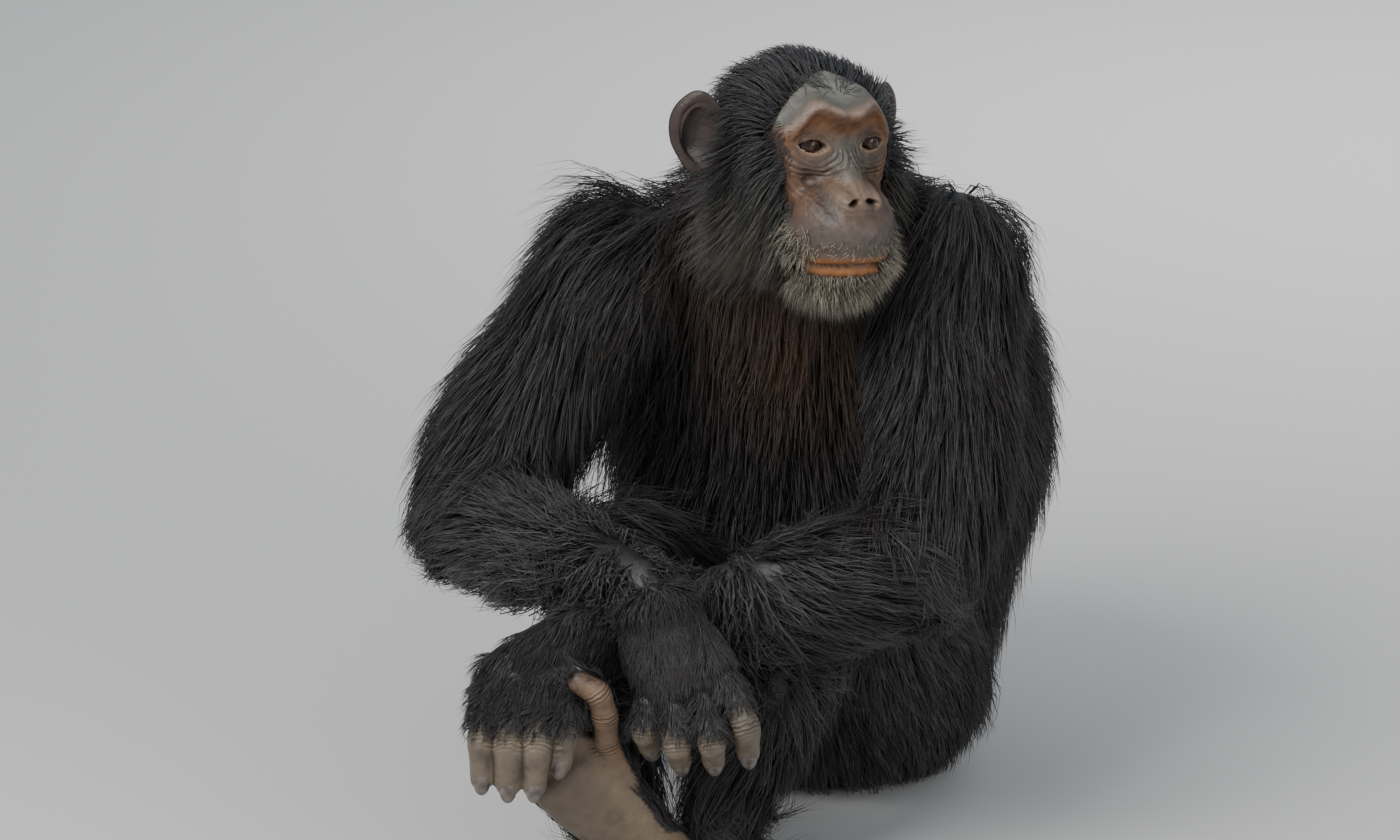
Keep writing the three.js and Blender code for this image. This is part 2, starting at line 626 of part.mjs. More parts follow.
// Where the coat grows, and how it lies. Rows run from one share of the limb's length to another.
const FULL = [0, 2 * Math.PI];
const BACK_AND_SIDES = [-0.12 * Math.PI, 1.12 * Math.PI];
const CHEST = [1.2 * Math.PI, 1.8 * Math.PI];
const ARM_COAT = {
  rows: 3, from: -0.04, to: 0.66, around: 5, arc: FULL, down: 1, length: 118, width: 72, thick: 8, rise: 15,
};
const FOREARM_COAT = {
  rows: 3, from: 0.93, to: 0.4, around: 4, arc: FULL, down: -1, length: 104, width: 66, thick: 7, rise: 12,
};
const THIGH_COAT = {
  rows: 2, from: 0.86, to: 0.5, around: 3, arc: FULL, down: -1, length: 120, width: 112, thick: 8, rise: 12,
};
const SHIN_COAT = {
  rows: 2, from: 0.1, to: 0.6, around: 3, arc: FULL, down: 1, length: 112, width: 82, thick: 7, rise: 11,
};
const coat = {
  torso: [
    ...limbLocks(torso, {
      rows: 5, from: 0.98, to: 0.16, around: 6, arc: BACK_AND_SIDES, down: -1, length: 168, width: 108,
      thick: 10, rise: 20,
    }, 11),
    ...limbLocks(torso, {
      rows: 2, from: 0.86, to: 0.56, around: 3, arc: CHEST, down: -1, length: 140, width: 88, thick: 8, rise: 12,
    }, 12),
  ],
  head: headLocks(),
  upper_arm_right: limbLocks(limbs.upper_arm_right, ARM_COAT, 21),
  upper_arm_left: limbLocks(limbs.upper_arm_left, ARM_COAT, 22),
  forearm_right: limbLocks(limbs.forearm_right, FOREARM_COAT, 31),
  forearm_left: limbLocks(limbs.forearm_left, FOREARM_COAT, 32),
  thigh_right: limbLocks(limbs.thigh_right, THIGH_COAT, 41),
  thigh_left: limbLocks(limbs.thigh_left, THIGH_COAT, 42),
  shin_right: limbLocks(limbs.shin_right, SHIN_COAT, 51),
  shin_left: limbLocks(limbs.shin_left, SHIN_COAT, 52),
};

// Each piece gives way to those before it in this list.
const ORDER = ['torso', 'neck', 'head', 'ear_right', 'ear_left', 'thigh_right', 'thigh_left',
  'shin_right', 'shin_left', 'foot_right', 'foot_left', 'upper_arm_right', 'upper_arm_left',
  'forearm_right', 'forearm_left', 'hand_right', 'hand_left'];
const grownCore = {};
for (const name of ORDER) grownCore[name] = core(name, GAP);

const belowFloor = beyond(V(0, 0, 0), V(0, 0, -1), 0);
const group = new THREE.Group();
const COLOURS = { fur: 0x1d1c1d, skin: 0x5a4638, eye: 0x2a1608 };
const BARE = ['hand_right', 'hand_left', 'foot_right', 'foot_left', 'ear_right', 'ear_left'];

function addPart(name, solid, colour) {
  const material = new THREE.MeshStandardMaterial({ color: colour, roughness: 0.8, metalness: 0 });
  const mesh = new THREE.Mesh(toGeometry(solid), material);
  mesh.name = name;
  group.add(mesh);
}

const trimmed = {};
ORDER.forEach((name, place) => {
  let solid = core(name);
  for (const other of ORDER.slice(0, place)) solid = solid.subtract(grownCore[other]);
  trimmed[name] = largest(solid.subtract(belowFloor));
});

// A lock is cut clear of the other pieces. Where it meets a lock that another piece already
// carries, it is made shorter, and where that isn't enough it is left out.
const meets = (a, b) => a.intersect(b).volume() > 1e-3;
const placed = [];

function fitted(strand, name) {
  for (const share of LOCK_SHARES) {
    const whole = toSolid(strand(share));
    let piece = whole.subtract(belowFloor);
    for (const other of ORDER) if (other !== name) piece = piece.subtract(grownCore[other]);
    if (piece.volume() < KEPT_SHARE * whole.volume()) continue;
    const grown = toSolid(swollen(strand(share), GAP));
    if (!placed.some((other) => meets(grown, other) || meets(whole, other))) return piece;
  }
  return null;
}

for (const name of ORDER) {
  const locks = (coat[name] ?? []).map((strand) => fitted(strand, name)).filter(Boolean);
  placed.push(...locks);
  const solid = largest(joined([trimmed[name], ...locks]));
  addPart(name, solid, BARE.includes(name) ? COLOURS.skin : COLOURS.fur);
}
addPart('eye_right', eyeSolid(SIDES.right), COLOURS.eye);
addPart('eye_left', eyeSolid(SIDES.left), COLOURS.eye);

export default group;
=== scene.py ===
# A life-size adult chimpanzee, seated on the ground with its forearms crossed before its knees.
# Sizes are in millimetres and are turned into metres when a piece's mesh is set. Right and left
# are the animal's own. The chest faces -Y, roughly, and the ground is at zero.
import math
import bpy
import numpy as np
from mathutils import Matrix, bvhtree, kdtree


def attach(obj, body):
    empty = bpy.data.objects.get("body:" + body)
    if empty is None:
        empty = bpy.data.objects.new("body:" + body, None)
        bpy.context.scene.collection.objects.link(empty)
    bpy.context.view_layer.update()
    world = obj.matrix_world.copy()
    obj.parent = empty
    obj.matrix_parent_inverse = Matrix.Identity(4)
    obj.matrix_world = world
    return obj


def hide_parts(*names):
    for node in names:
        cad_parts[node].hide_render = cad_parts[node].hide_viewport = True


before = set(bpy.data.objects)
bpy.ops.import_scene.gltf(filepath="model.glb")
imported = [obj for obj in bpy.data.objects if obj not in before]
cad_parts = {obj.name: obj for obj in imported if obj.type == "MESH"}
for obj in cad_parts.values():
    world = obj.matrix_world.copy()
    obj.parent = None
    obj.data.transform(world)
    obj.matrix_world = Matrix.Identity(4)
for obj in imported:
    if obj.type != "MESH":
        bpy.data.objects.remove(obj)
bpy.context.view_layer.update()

# The camera looks down on the animal by nineteen degrees from a few paces away, with a long lens,
# so that the figure fills the height of the picture and its feet leave it at the bottom.
LENS = 108
LOOK_DOWN = 19
CAMERA_AT = (-0.124, -3.770, 1.644)
SENSOR_WIDTH = 36
bpy.ops.object.select_all(action="DESELECT")
bpy.ops.object.camera_add(location=CAMERA_AT, rotation=(math.radians(90 - LOOK_DOWN), 0, 0))
camera = bpy.context.object
camera.name = "camera"
camera.data.lens = LENS
camera.data.sensor_width = SENSOR_WIDTH
bpy.context.scene.camera = camera

# The floor is a plain pale studio floor, wide enough to fill the picture to its top edge.
# It isn't part of the animal.
FLOOR_SIZE = 26
FLOOR_COLOUR = (0.62, 0.61, 0.59, 1)
FLOOR_ROUGHNESS = 0.85
bpy.ops.mesh.primitive_plane_add(size=FLOOR_SIZE, location=(0, 4, 0))
floor = bpy.context.object
floor.name = "studio_floor"
floor.data.materials.append(bpy.data.materials.new("pale_floor"))
floor.data.materials[0].use_nodes = True
floor_shader = floor.data.materials[0].node_tree.nodes["Principled BSDF"]
floor_shader.inputs["Base Color"].default_value = FLOOR_COLOUR
floor_shader.inputs["Roughness"].default_value = FLOOR_ROUGHNESS

# The light is soft: a large key from above on the left of the picture, a second from behind that
# catches the fringes of the coat, a weak fill on the right, and a pale sky all round.
SKY = (0.80, 0.86, 0.95, 1)
SKY_STRENGTH = 0.55
LIGHTS = [
    ("key_light", (-1.7, -1.9, 2.9), (42, 0, -42), 1.8, 120),
    ("rim_light", (0.9, 1.9, 2.5), (-48, 0, 155), 1.6, 90),
    ("fill_light", (2.2, -2.2, 1.3), (66, 0, 45), 2.0, 28),
]
for light_name, light_at, light_turn, light_size, light_power in LIGHTS:
    bpy.ops.object.light_add(type="AREA", location=light_at,
                             rotation=[math.radians(angle) for angle in light_turn])
    lamp = bpy.context.object
    lamp.name = light_name
    lamp.data.size = light_size
    lamp.data.energy = light_power
world = bpy.data.worlds.new("soft_sky")
world.use_nodes = True
world.node_tree.nodes["Background"].inputs["Color"].default_value = SKY
world.node_tree.nodes["Background"].inputs["Strength"].default_value = SKY_STRENGTH
bpy.context.scene.world = world

# The trunk and the limbs are the flesh under the coat. Each is a row of stations with a place,
# a half-width and a half-depth out to the coat's dense base, pushed outward where it bulges. The
# flesh lies inside that base by a depth that shrinks towards the wrists and ankles.
MM = 0.001
LIMB_STEPS = 200


def mixed(a, b, share):
    return np.asarray(a) * (1 - share) + np.asarray(b) * share


def unit(v):
    return v / np.maximum(np.linalg.norm(v, axis=-1, keepdims=True), 1e-9)


def smooth_row(values, count):
    """A smooth curve through a row of values, at evenly spread places along it."""
    values = np.asarray(values, float)
    padded = np.vstack([2 * values[0] - values[1], values, 2 * values[-1] - values[-2]])
    place = np.linspace(0, len(values) - 1, count)
    first = np.minimum(place.astype(int), len(values) - 2)
    w = (place - first)[:, None]
    a, b, c, d = (padded[first + i] for i in range(4))
    return b + 0.5 * w * (c - a + w * (2 * a - 5 * b + 4 * c - d + w * (3 * (b - c) + d - a)))


class Limb:
    """A limb from its stations. t runs along it from 0 to 1 and phi round it."""

    def __init__(self, stations, across, caps):
        self.centre = smooth_row([s[0] for s in stations], LIMB_STEPS + 1)
        self.size = smooth_row([s[1:] for s in stations], LIMB_STEPS + 1)
        self.along = unit(np.gradient(self.centre, axis=0))
        across = np.array(across, float)
        self.wide = unit(across - (self.along @ across)[:, None] * self.along)
        self.deep = np.cross(self.along, self.wide)
        self.caps = caps
        self.length = np.linalg.norm(np.diff(self.centre, axis=0), axis=1).sum()

    def at(self, row, u):
        k = np.minimum((u * LIMB_STEPS).astype(int), LIMB_STEPS - 1)
        return mixed(row[k], row[k + 1], (u * LIMB_STEPS - k)[:, None])

    def skin(self, t, phi, height):
        """Points at t and phi, height above the coat's base, rounded over the end caps."""
        u = np.clip(t, 0, 1)
        past = (t - u) * self.length
        cap = np.where(past < 0, self.caps[0], self.caps[1]) + height
        round_off = np.sqrt(1 - np.clip((past / np.maximum(cap, 1)) ** 2, 0, 1))[:, None]
        size = np.maximum(self.at(self.size, u) + np.asarray(height)[..., None], 1) * round_off
        return (self.at(self.centre, u) + self.at(self.along, u) * past[:, None]
                + self.at(self.wide, u) * size[:, :1] * np.cos(phi)[:, None]
                + self.at(self.deep, u) * size[:, 1:] * np.sin(phi)[:, None])


def between(p, q, share):
    return tuple(mixed(p, q, share))


def shifted(p, direction, distance):
    return tuple(np.array(p) + np.array(direction) * distance)


HIP = {"right": (-72, -5, 88), "left": (74, -45, 88)}
KNEE = {"right": (-207, -180, 290), "left": (-5, -225, 290)}
ANKLE = {"right": (-198, -338, 52), "left": (-103, -328, 72)}
SHOULDER = {"right": (-196, -50, 530), "left": (104, -122, 556)}
ELBOW = {"right": (-338, -135, 294), "left": (68, -305, 316)}
WRIST = {"right": (-163, -362, 305), "left": (-183, -300, 252)}
ARM_OUTWARD = {"right": (-0.86, 0.1, 0.5), "left": (0.98, 0.2, 0)}
SPINE_ACROSS = (0.966, -0.259, 0)

limbs = {
    "torso": Limb([
        [(4, -14, 58), 134, 128], [(10, 14, 150), 164, 146], [(4, 36, 255), 203, 156],
        [(1, 30, 365), 214, 152], [(-11, -8, 465), 196, 134], [(-32, -62, 545), 142, 108],
        [(-36, -100, 602), 98, 84]], SPINE_ACROSS, (78, 24)),
    "neck": Limb([[(-36, -84, 572), 86, 74], [(-30, -138, 650), 60, 58]], SPINE_ACROSS, (10, 12)),
}
LEFT_SHIN_FULLER = 5
for side in ("right", "left"):
    fuller = LEFT_SHIN_FULLER if side == "left" else 0
    parts = {
        "upper_arm": (SHOULDER, ELBOW, ARM_OUTWARD[side], (62, 50),
                      [(0, 72, 66, 0), (0.35, 71, 60, 2), (0.7, 68, 56, 12), (1, 56, 52, 0)]),
        "forearm": (ELBOW, WRIST, (0, 0.2, 1), (50, 16),
                    [(0, 56, 50, 0), (0.3, 58, 48, 0), (0.65, 49, 38, 0), (1, 36, 26, 0)]),
        "thigh": (HIP, KNEE, (1, 0, 0), (50, 44),
                  [(0, 86, 86, 0), (0.4, 78, 76, 0), (0.8, 58, 58, 0), (1, 47, 49, 0)]),
        "shin": (KNEE, ANKLE, (1, 0, 0), (44, 5),
                 [(0, 47, 49, 0), (0.3, 46, 48, 0), (0.65, 37 + fuller, 39, -fuller),
                  (0.92, 30 + fuller, 32, -fuller)]),
    }
    for part, (top, bottom, across, caps, stations) in parts.items():
        limbs[part + "_" + side] = Limb([
            [shifted(between(top[side], bottom[side], share), across, outward), wide, deep]
            for share, wide, deep, outward in stations], across, caps)
FLESH_DEPTH = {"torso": (13, 13), "neck": (10, 8), "upper_arm": (13, 12), "forearm": (12, 3),
               "thigh": (13, 11), "shin": (11, 3)}


def set_points(piece, points):
    piece.data.vertices.foreach_set("co", (points * MM).ravel())


def shaped_ball(name, segments, rings, place):
    """A ball whose points go where place(rows, phi) says. rows run 0 to 1 from pole to pole."""
    bpy.ops.object.select_all(action="DESELECT")
    bpy.ops.mesh.primitive_uv_sphere_add(segments=segments, ring_count=rings)
    piece = bpy.context.object
    piece.name = name
    co = np.empty(len(piece.data.vertices) * 3)
    piece.data.vertices.foreach_get("co", co)
    co = co.reshape(-1, 3)
    points = place(np.arccos(np.clip(co[:, 2], -1, 1)) / math.pi, np.arctan2(co[:, 1], co[:, 0]))
    set_points(piece, points)
    bpy.ops.object.mode_set(mode="EDIT")
    bpy.ops.mesh.select_all(action="SELECT")
    bpy.ops.mesh.normals_make_consistent(inside=False)
    bpy.ops.object.mode_set(mode="OBJECT")
    return piece


def flesh_ball(name, limb, depth, segments=28, rings=40, cap_share=0.16):
    """The closed rounded body of one limb, a depth inside the coat's base."""
    def place(rows, phi):
        near, far = rows < cap_share, rows > 1 - cap_share
        turn = np.where(near, rows, np.where(far, 1 - rows, cap_share)) / cap_share * math.pi / 2
        inside = depth[0] + (depth[1] - depth[0]) * np.clip(rows, 0, 1)
        past = np.where(near, -(limb.caps[0] - inside) * np.cos(turn) / limb.length,
                        np.where(far, (limb.caps[1] - inside) * np.cos(turn) / limb.length, 0))
        t = np.clip((rows - cap_share) / (1 - 2 * cap_share), 0, 1) + past
        return limb.skin(t, phi, -inside)
    return shaped_ball(name, segments, rings, place)


def joined(name, pieces):
    """Makes one piece of several, under a new name."""
    bpy.ops.object.select_all(action="DESELECT")
    for piece in pieces:
        piece.select_set(True)
    bpy.context.view_layer.objects.active = pieces[0]
    bpy.ops.object.join()
    whole = bpy.context.object
    whole.name = name
    return whole


def fused(name, pieces, voxel, smoothing):
    """Joins overlapping closed pieces into one smooth closed surface."""
    whole = joined(name, pieces)
    remesh = whole.modifiers.new("fuse", "REMESH")
    remesh.mode = "VOXEL"
    remesh.voxel_size = voxel * MM
    bpy.ops.object.modifier_apply(modifier=remesh.name)
    soften = whole.modifiers.new("soften", "SMOOTH")
    soften.factor = 0.5
    soften.iterations = smoothing
    bpy.ops.object.modifier_apply(modifier=soften.name)
    return whole


def part_kind(name):
    return name.replace("_right", "").replace("_left", "")


body_parts = [flesh_ball(name + "_flesh", limb, FLESH_DEPTH[part_kind(name)])
              for name, limb in limbs.items()]
body = fused("skin", body_parts, voxel=14, smoothing=4)

# The head is one closed surface, measured outward from a point inside it: a low skull, a heavy
# brow, cheekbones and a deep muzzle with a long upper lip. The lids, the line of the mouth, the
# lips, the nose and the wrinkles are pushed out of it or into it.
HEAD_AT = np.array((-23, -176, 677.0))
HEAD_TURN = math.radians(26)
HEAD_TILT = math.radians(4)
level_left = np.array((math.cos(HEAD_TURN), math.sin(HEAD_TURN), 0))
straight_up = np.array((0, 0, 1.0))
HEAD_AXES = np.array([level_left * math.cos(HEAD_TILT) - straight_up * math.sin(HEAD_TILT),
                      (math.sin(HEAD_TURN), -math.cos(HEAD_TURN), 0),
                      straight_up * math.cos(HEAD_TILT) + level_left * math.sin(HEAD_TILT)])
MASSES = {
    "braincase": ((0, -24, 5), (66, 76, 59)),
    "middle of the face": ((0, 20, -6), (60, 42, 42)),
    "cheekbones and jaw muscles": ((0, 10, -38), (68, 47, 44)),
    "bridge of the nose": ((0, 40, -30), (17, 40, 33)),
    "muzzle": ((0, 46, -68), (50, 67, 42)),
    "lower jaw": ((0, 34, -82), (45, 71, 52)),
    "nape": ((0, -34, -50), (62, 58, 60)),
}
STAR = np.array((0, 14, -40.0))
BLEND = 5
MOUTH_LEVEL = -95
BROW_LEVEL = 30
NOSE_LEVEL = -33
NOSTRIL_AT = (9.0, -41)
EYE_SPACING = 58
EYE_DEPTH = 42
EYE_RADIUS = 11.5
EYE_HALF = 11.6
LID_COVER = 1.7
LID_REACH = 23
HAIR_BASE = 9
NOSTRIL_DEPTH = 12
BROW_HEIGHT = 24


def bump(v, middle, width):
    return np.exp(-((v - middle) / width) ** 2)


def rise(v, low, high):
    share = np.clip((v - low) / (high - low), 0, 1)
    return share * share * (3 - 2 * share)


# Forms of the face that are pushed forward: the height of each, its middle and half-width
# across, and its middle and half-width up the face.
FEATURES = {
    "eye sockets": (-5, EYE_SPACING / 2, 15, 3, 13),
    "root of the nose": (-3, 0, 11, 8, 10),
    "bags below the eyes": (2.2, EYE_SPACING / 2 - 1, 15, -19, 5),
    "cheeks": (3.5, 44, 14, -24, 16),
    "tip of the nose": (10, 0, 12, NOSE_LEVEL + 1, 9),
    "groove in the tip": (-2.4, 0, 2.6, NOSE_LEVEL + 1, 8),
    "wings of the nose": (10, 16, 7, NOSE_LEVEL - 4, 8),
    "hollow below the nose": (-4, 0, 22, NOSE_LEVEL - 17, 4.5),
}


def in_head(points):
    """From the head's own axes, left, front and up of the middle of the skull, to the animal's."""
    return HEAD_AT + points @ HEAD_AXES


def to_head_axes(points):
    return (points - HEAD_AT) @ HEAD_AXES.T


def face_place(p):
    """Out from the middle of the face, forward and up, for points in the head's axes."""
    return np.abs(p[:, 0]), p[:, 1], p[:, 2]


def mouth_line(x):
    return MOUTH_LEVEL - 7 * (x / 40) ** 2


def brow_line(x):
    return BROW_LEVEL + 7 * bump(x, 25, 14) - 22 * rise(x, 28, 58)


def head_reach(d):
    total = 0
    for centre, radii in MASSES.values():
        o, k = (STAR - centre) / radii, d / radii
        a, b = (k * k).sum(-1), k @ o
        total = total + np.exp((-b + np.sqrt(b * b - a * (o @ o - 1))) / a / BLEND)
    reach = BLEND * np.log(total)
    p = STAR + d * reach[:, None]
    x, y, z = face_place(p)
    front = rise(y, 50, 90)
    mouth = mouth_line(x)
    lips = 2.4 * bump(z, mouth + 7, 5) + 3.2 * bump(z, mouth - 7.5, 5) - 4.5 * bump(z, mouth, 2.0)
    chin = 0.8 * bump(z, mouth - 18, 6) * bump(x, 0, 30)
    return reach + front * (lips * rise(48 - x, 0, 12) - chin)


def head_point(d, height):
    """The head's surface in the direction d, with a height above it, before lids and nostrils."""
    p = STAR + d * (head_reach(d) + height)[:, None]
    x, y, z = face_place(p)
    line = brow_line(x)
    ridge = np.where(z > line, bump(z, line, 9), bump(z, line, 12.5))
    forward = BROW_HEIGHT * ridge * (1 - 0.22 * bump(x, 0, 7)) * (1 - rise(x, 24, 64))
    forward -= 6 * bump(x, 30 + 0.22 * (z - NOSE_LEVEL), 6) * bump(z, NOSE_LEVEL - 2, 15)
    for height_now, out, half_out, level, half_up in FEATURES.values():
        forward += height_now * bump(x, out, half_out) * bump(z, level, half_up)
    p[:, 1] = y + rise(y, -15, 24) * forward
    return p


def bare_face(p):
    """How bare the skin is at points in the head's axes: 1 on the face, 0 under the coat."""
    x, y, z = face_place(p)
    middle = 16 * bump(x, 0, 30) * rise(z, 20, 50)
    side = rise(55 - x + 0.16 * (z + 20), -6, 9) * rise(y, 10 - middle, 28 - middle)
    top = rise(66 - z - 0.42 * x, -9, 12)
    muzzle = rise(y, 46, 62) * rise(z, -128, -114)
    return np.clip(np.maximum(side * top * rise(z, -94, -76), muzzle), 0, 1)


def eye_plan(p):
    """Across and up from the centre of the nearer eye. The inner corner has across below 0."""
    return np.abs(p[:, 0]) - EYE_SPACING / 2, p[:, 2]


def lid_gap(across, up):
    """Below 0 inside the almond between the lids, about the distance to its edge outside."""
    tilted = up - 0.06 * across
    share = np.clip(1 - (across / EYE_HALF) ** 2, 0, 1)
    upper, lower = 5.6 * share ** 0.75 - 0.5, -4.9 * share ** 0.85 - 0.3
    over = np.maximum(tilted - upper, lower - tilted)
    return np.where(np.abs(across) < EYE_HALF, over, np.hypot(np.abs(across) - EYE_HALF, tilted))


def nostril(p):
    x, z = np.abs(p[:, 0]) - NOSTRIL_AT[0], p[:, 2] - NOSTRIL_AT[1]
    return bump(np.hypot((x - 0.5 * z) / 1.6, (z + 0.3 * x) / 0.72), 0, 3.5) * rise(p[:, 1], 66, 76)


def ripple(v, spacing):
    return np.sin(v * 2 * math.pi / spacing)


def wrinkles(p):
    """Fine folds of the bare skin: rings below and above the eyes, lines from nose to cheek."""
    x, _, z = face_place(p)
    across, up = eye_plan(p)
    ring = np.hypot(across * 0.82, up + 1.5) + 1.1 * waves(p, 22, 31)
    below = ripple(ring, 4.4) * rise(ring, 10, 13) * rise(31 - ring, 0, 10) * rise(1 - up, 0, 7)
    above = ripple(ring, 3.9) * rise(ring, 9, 11) * rise(20 - ring, 0, 5) * rise(up, 1, 6)
    slant = x * 0.75 - z * 0.55 + 1.8 * waves(p, 26, 32)
    cheek = ripple(slant, 5.6) * bump(x, 40, 12) * bump(z, -42, 17)
    lip = ripple(x + 1.6 * waves(p, 16, 33), 4.6) * bump(z, MOUTH_LEVEL + 17, 11)
    chin = ripple(x + 2 * waves(p, 14, 35), 5.2) * bump(z, MOUTH_LEVEL - 12, 7) * 0.5
    bridge = ripple(z + 0.25 * x + 1.4 * waves(p, 14, 34), 4.8) * bump(x, 0, 11) * bump(z, -6, 12)
    frown = ripple(x + waves(p, 14, 36), 5.5) * bump(x, 0, 12) * bump(z, 20, 9)
    return (1.0 * below + 0.6 * above + 0.75 * cheek + 0.36 * (lip + chin) * rise(p[:, 1], 70, 85)
            + 0.45 * bridge + 0.35 * frown) + 0.35 * waves(p, 9, 37) * rise(p[:, 1], 20, 40)


def head_skin(rows, phi):
    """The head's mesh, with its rows and columns closest together on the face."""
    angle = np.radians(90 - 180 * (rows - 0.038 * np.sin(4 * math.pi * rows)))
    turn = phi - 0.72 * np.sin(phi)
    d = np.stack([np.sin(turn) * np.cos(angle), np.cos(turn) * np.cos(angle), np.sin(angle)], -1)
    bare = bare_face(head_point(d, np.zeros(len(d))))
    p = head_point(d, -HAIR_BASE * (1 - bare))
    across, up = eye_plan(p)
    gap = lid_gap(across, up)
    from_eye = np.hypot(across, up)
    near = (p[:, 1] > 18) & (from_eye < LID_REACH)
    ball = np.sqrt(np.clip((EYE_RADIUS + LID_COVER) ** 2 - across ** 2 - up ** 2, 0, None)) + EYE_DEPTH
    rim = 0.8 * bump(gap, 1.3, 1.1) - 0.7 * bump(gap, 3.9, 0.9) * (up > 0)
    lidded = np.maximum(p[:, 1], ball) + rim
    creases = wrinkles(p) * bare
    closed = p[:, 1] + (lidded - p[:, 1]) * rise(LID_REACH - from_eye, 0, 9) + creases
    plain = p[:, 1] + creases * (p[:, 1] > 0)
    p[:, 1] = np.where(near & (gap < 0), EYE_DEPTH - 3.0, np.where(near, closed, plain))
    p[:, 1] -= NOSTRIL_DEPTH * nostril(p)
    return in_head(p)


def waves(points, size, seed):
    """Soft seeded noise between about -1 and 1, with blotches of the given size."""
    draw = np.random.default_rng(seed)
    total = 0
    for _ in range(7):
        turn = unit(draw.normal(size=3)) * 2 * math.pi / (size * draw.uniform(0.7, 1.6))
        total = total + np.sin(points @ turn + draw.uniform(0, 6.3))
    return total / 3.2


head = shaped_ball("head_skin", segments=212, rings=196, place=head_skin)

# Each ear is a thin cup with a rolled rim, an inner fold and a deep hollow, set at the back of the
# cheek and turned forward and outward.
EAR_AT = (91, -44, -9)
EAR_TURN = 0.5
EAR_HALF = (25, 39)


def ear(side_sign):
    """One ear, as a ball pressed to a cup, with side_sign 1 on the left."""
    def place(rows, phi):
        r = np.sin(math.pi * rows)
        front = rows < 0.5
        lobe = 1 - 0.30 * rise(-np.sin(phi), 0.2, 1)
        edge = 1 + 0.05 * np.sin(2 * phi + 0.6) + 0.025 * np.sin(5 * phi)
        x, z = EAR_HALF[0] * lobe * edge * r * np.cos(phi), EAR_HALF[1] * edge * r * np.sin(phi)
        dish = -13 + 17 * rise(r, 0.35, 0.88) - 3.5 * rise(r, 0.92, 1)
        fold = 5.5 * bump(r, 0.62, 0.08) * rise(np.cos(phi) * 0.6 + np.sin(phi), -0.2, 0.6)
        fold += 4 * bump(r, 0.45, 0.10) * rise(-np.cos(phi) * side_sign, 0.1, 0.8)
        ribs = 0.9 * np.sin(phi * 5 + r * 9) * rise(r, 0.25, 0.5) * rise(0.9 - r, 0, 0.2)
        thick = 2.6 + 7 * rise(0.6 - r, 0, 0.5)
        y = np.where(front, dish + fold + ribs, dish - thick * np.cos(np.clip(rows - 0.5, 0, 0.5)))
        c, s = math.cos(EAR_TURN), math.sin(EAR_TURN)
        p = np.stack([side_sign * (EAR_AT[0] + c * x - s * y), EAR_AT[1] - s * x + c * y,
                      EAR_AT[2] + z], -1)
        return in_head(p)
    return shaped_ball("ear_skin", segments=72, rings=56, place=place)


ears = [ear(-1), ear(1)]

# The hands hang before the shins. Each has a broad back, a ridge of knuckles, four long fingers
# that bend and a short thumb, fused into one smooth surface. Digits are given joint by joint.
FINGER = 11.9
THUMB = 10.0
HANDS = {
    "right": {
        "palm": [[WRIST["right"], 31, 24], [(-152, -372, 268), 40, 20], [(-134, -384, 240), 42, 17]],
        "across": (0.95, 0, 0.3),
        "digits": [
            [(-166, -374, 232), (-172, -404, 200), (-168, -386, 176)],
            [(-146, -382, 230), (-144, -426, 196), (-141, -404, 170)],
            [(-124, -386, 234), (-114, -432, 201), (-112, -410, 173)],
            [(-106, -386, 244), (-84, -428, 214), (-82, -410, 180)]],
        "knuckles": [[(-158, -376, 236), 16, 15], [(-114, -384, 242), 17, 16]],
        "thumb": [(-136, -356, 288), (-116, -362, 270), (-99, -376, 248)],
    },
    "left": {
        "palm": [[WRIST["left"], 33, 25], [(-228, -336, 248), 43, 23], [(-264, -358, 234), 42, 21],
                 [(-290, -362, 226), 32, 19]],
        "across": (0.5, 0.2, 1),
        "digits": [
            [(-240, -366, 232), (-240, -428, 210), (-245, -428, 178)],
            [(-260, -370, 236), (-264, -438, 200), (-267, -437, 160)],
            [(-284, -368, 236), (-289, -438, 200), (-290, -437, 160)],
            [(-306, -360, 230), (-313, -428, 204), (-313, -430, 164)]],
        "knuckles": [[(-304, -354, 230), 19, 18], [(-246, -364, 236), 20, 19]],
        "thumb": [(-208, -330, 226), (-226, -352, 204), (-240, -368, 190)],
    },
}


def digit_ball(points, radius):
    """A finger or toe, a little thicker at its knuckles and rounded at its tip."""
    last = len(points) - 1
    stations = []
    for i, point in enumerate(points):
        swell = 0.88 if i == last else 1.05 if i > 0 else 1.0
        stations.append([point, radius * swell, radius * swell * 0.95])
        if i < last:
            stations.append([between(point, points[i + 1], 0.5), radius * 0.93, radius * 0.88])
    limb = Limb(stations, (1, 0.1, 0), (radius * 0.6, radius * 0.72))
    return flesh_ball("digit", limb, (0, 0), segments=20, rings=30, cap_share=0.12)


hands = []
for side, plan in HANDS.items():
    palm = Limb(plan["palm"], plan["across"], (14, 14))
    middle = plan["palm"][1][0]
    hand_parts = [flesh_ball("palm", palm, (0, 0), segments=32, rings=30),
                  flesh_ball("knuckles", Limb(plan["knuckles"], (0, 0, 1), (14, 14)), (0, 0))]
    for digit in plan["digits"]:
        hand_parts.append(digit_ball([between(middle, digit[0], 0.3)] + digit, FINGER))
    hand_parts.append(digit_ball([middle] + plan["thumb"], THUMB))
    hands.append(fused("hand_" + side + "_skin", hand_parts, voxel=2.6, smoothing=3))

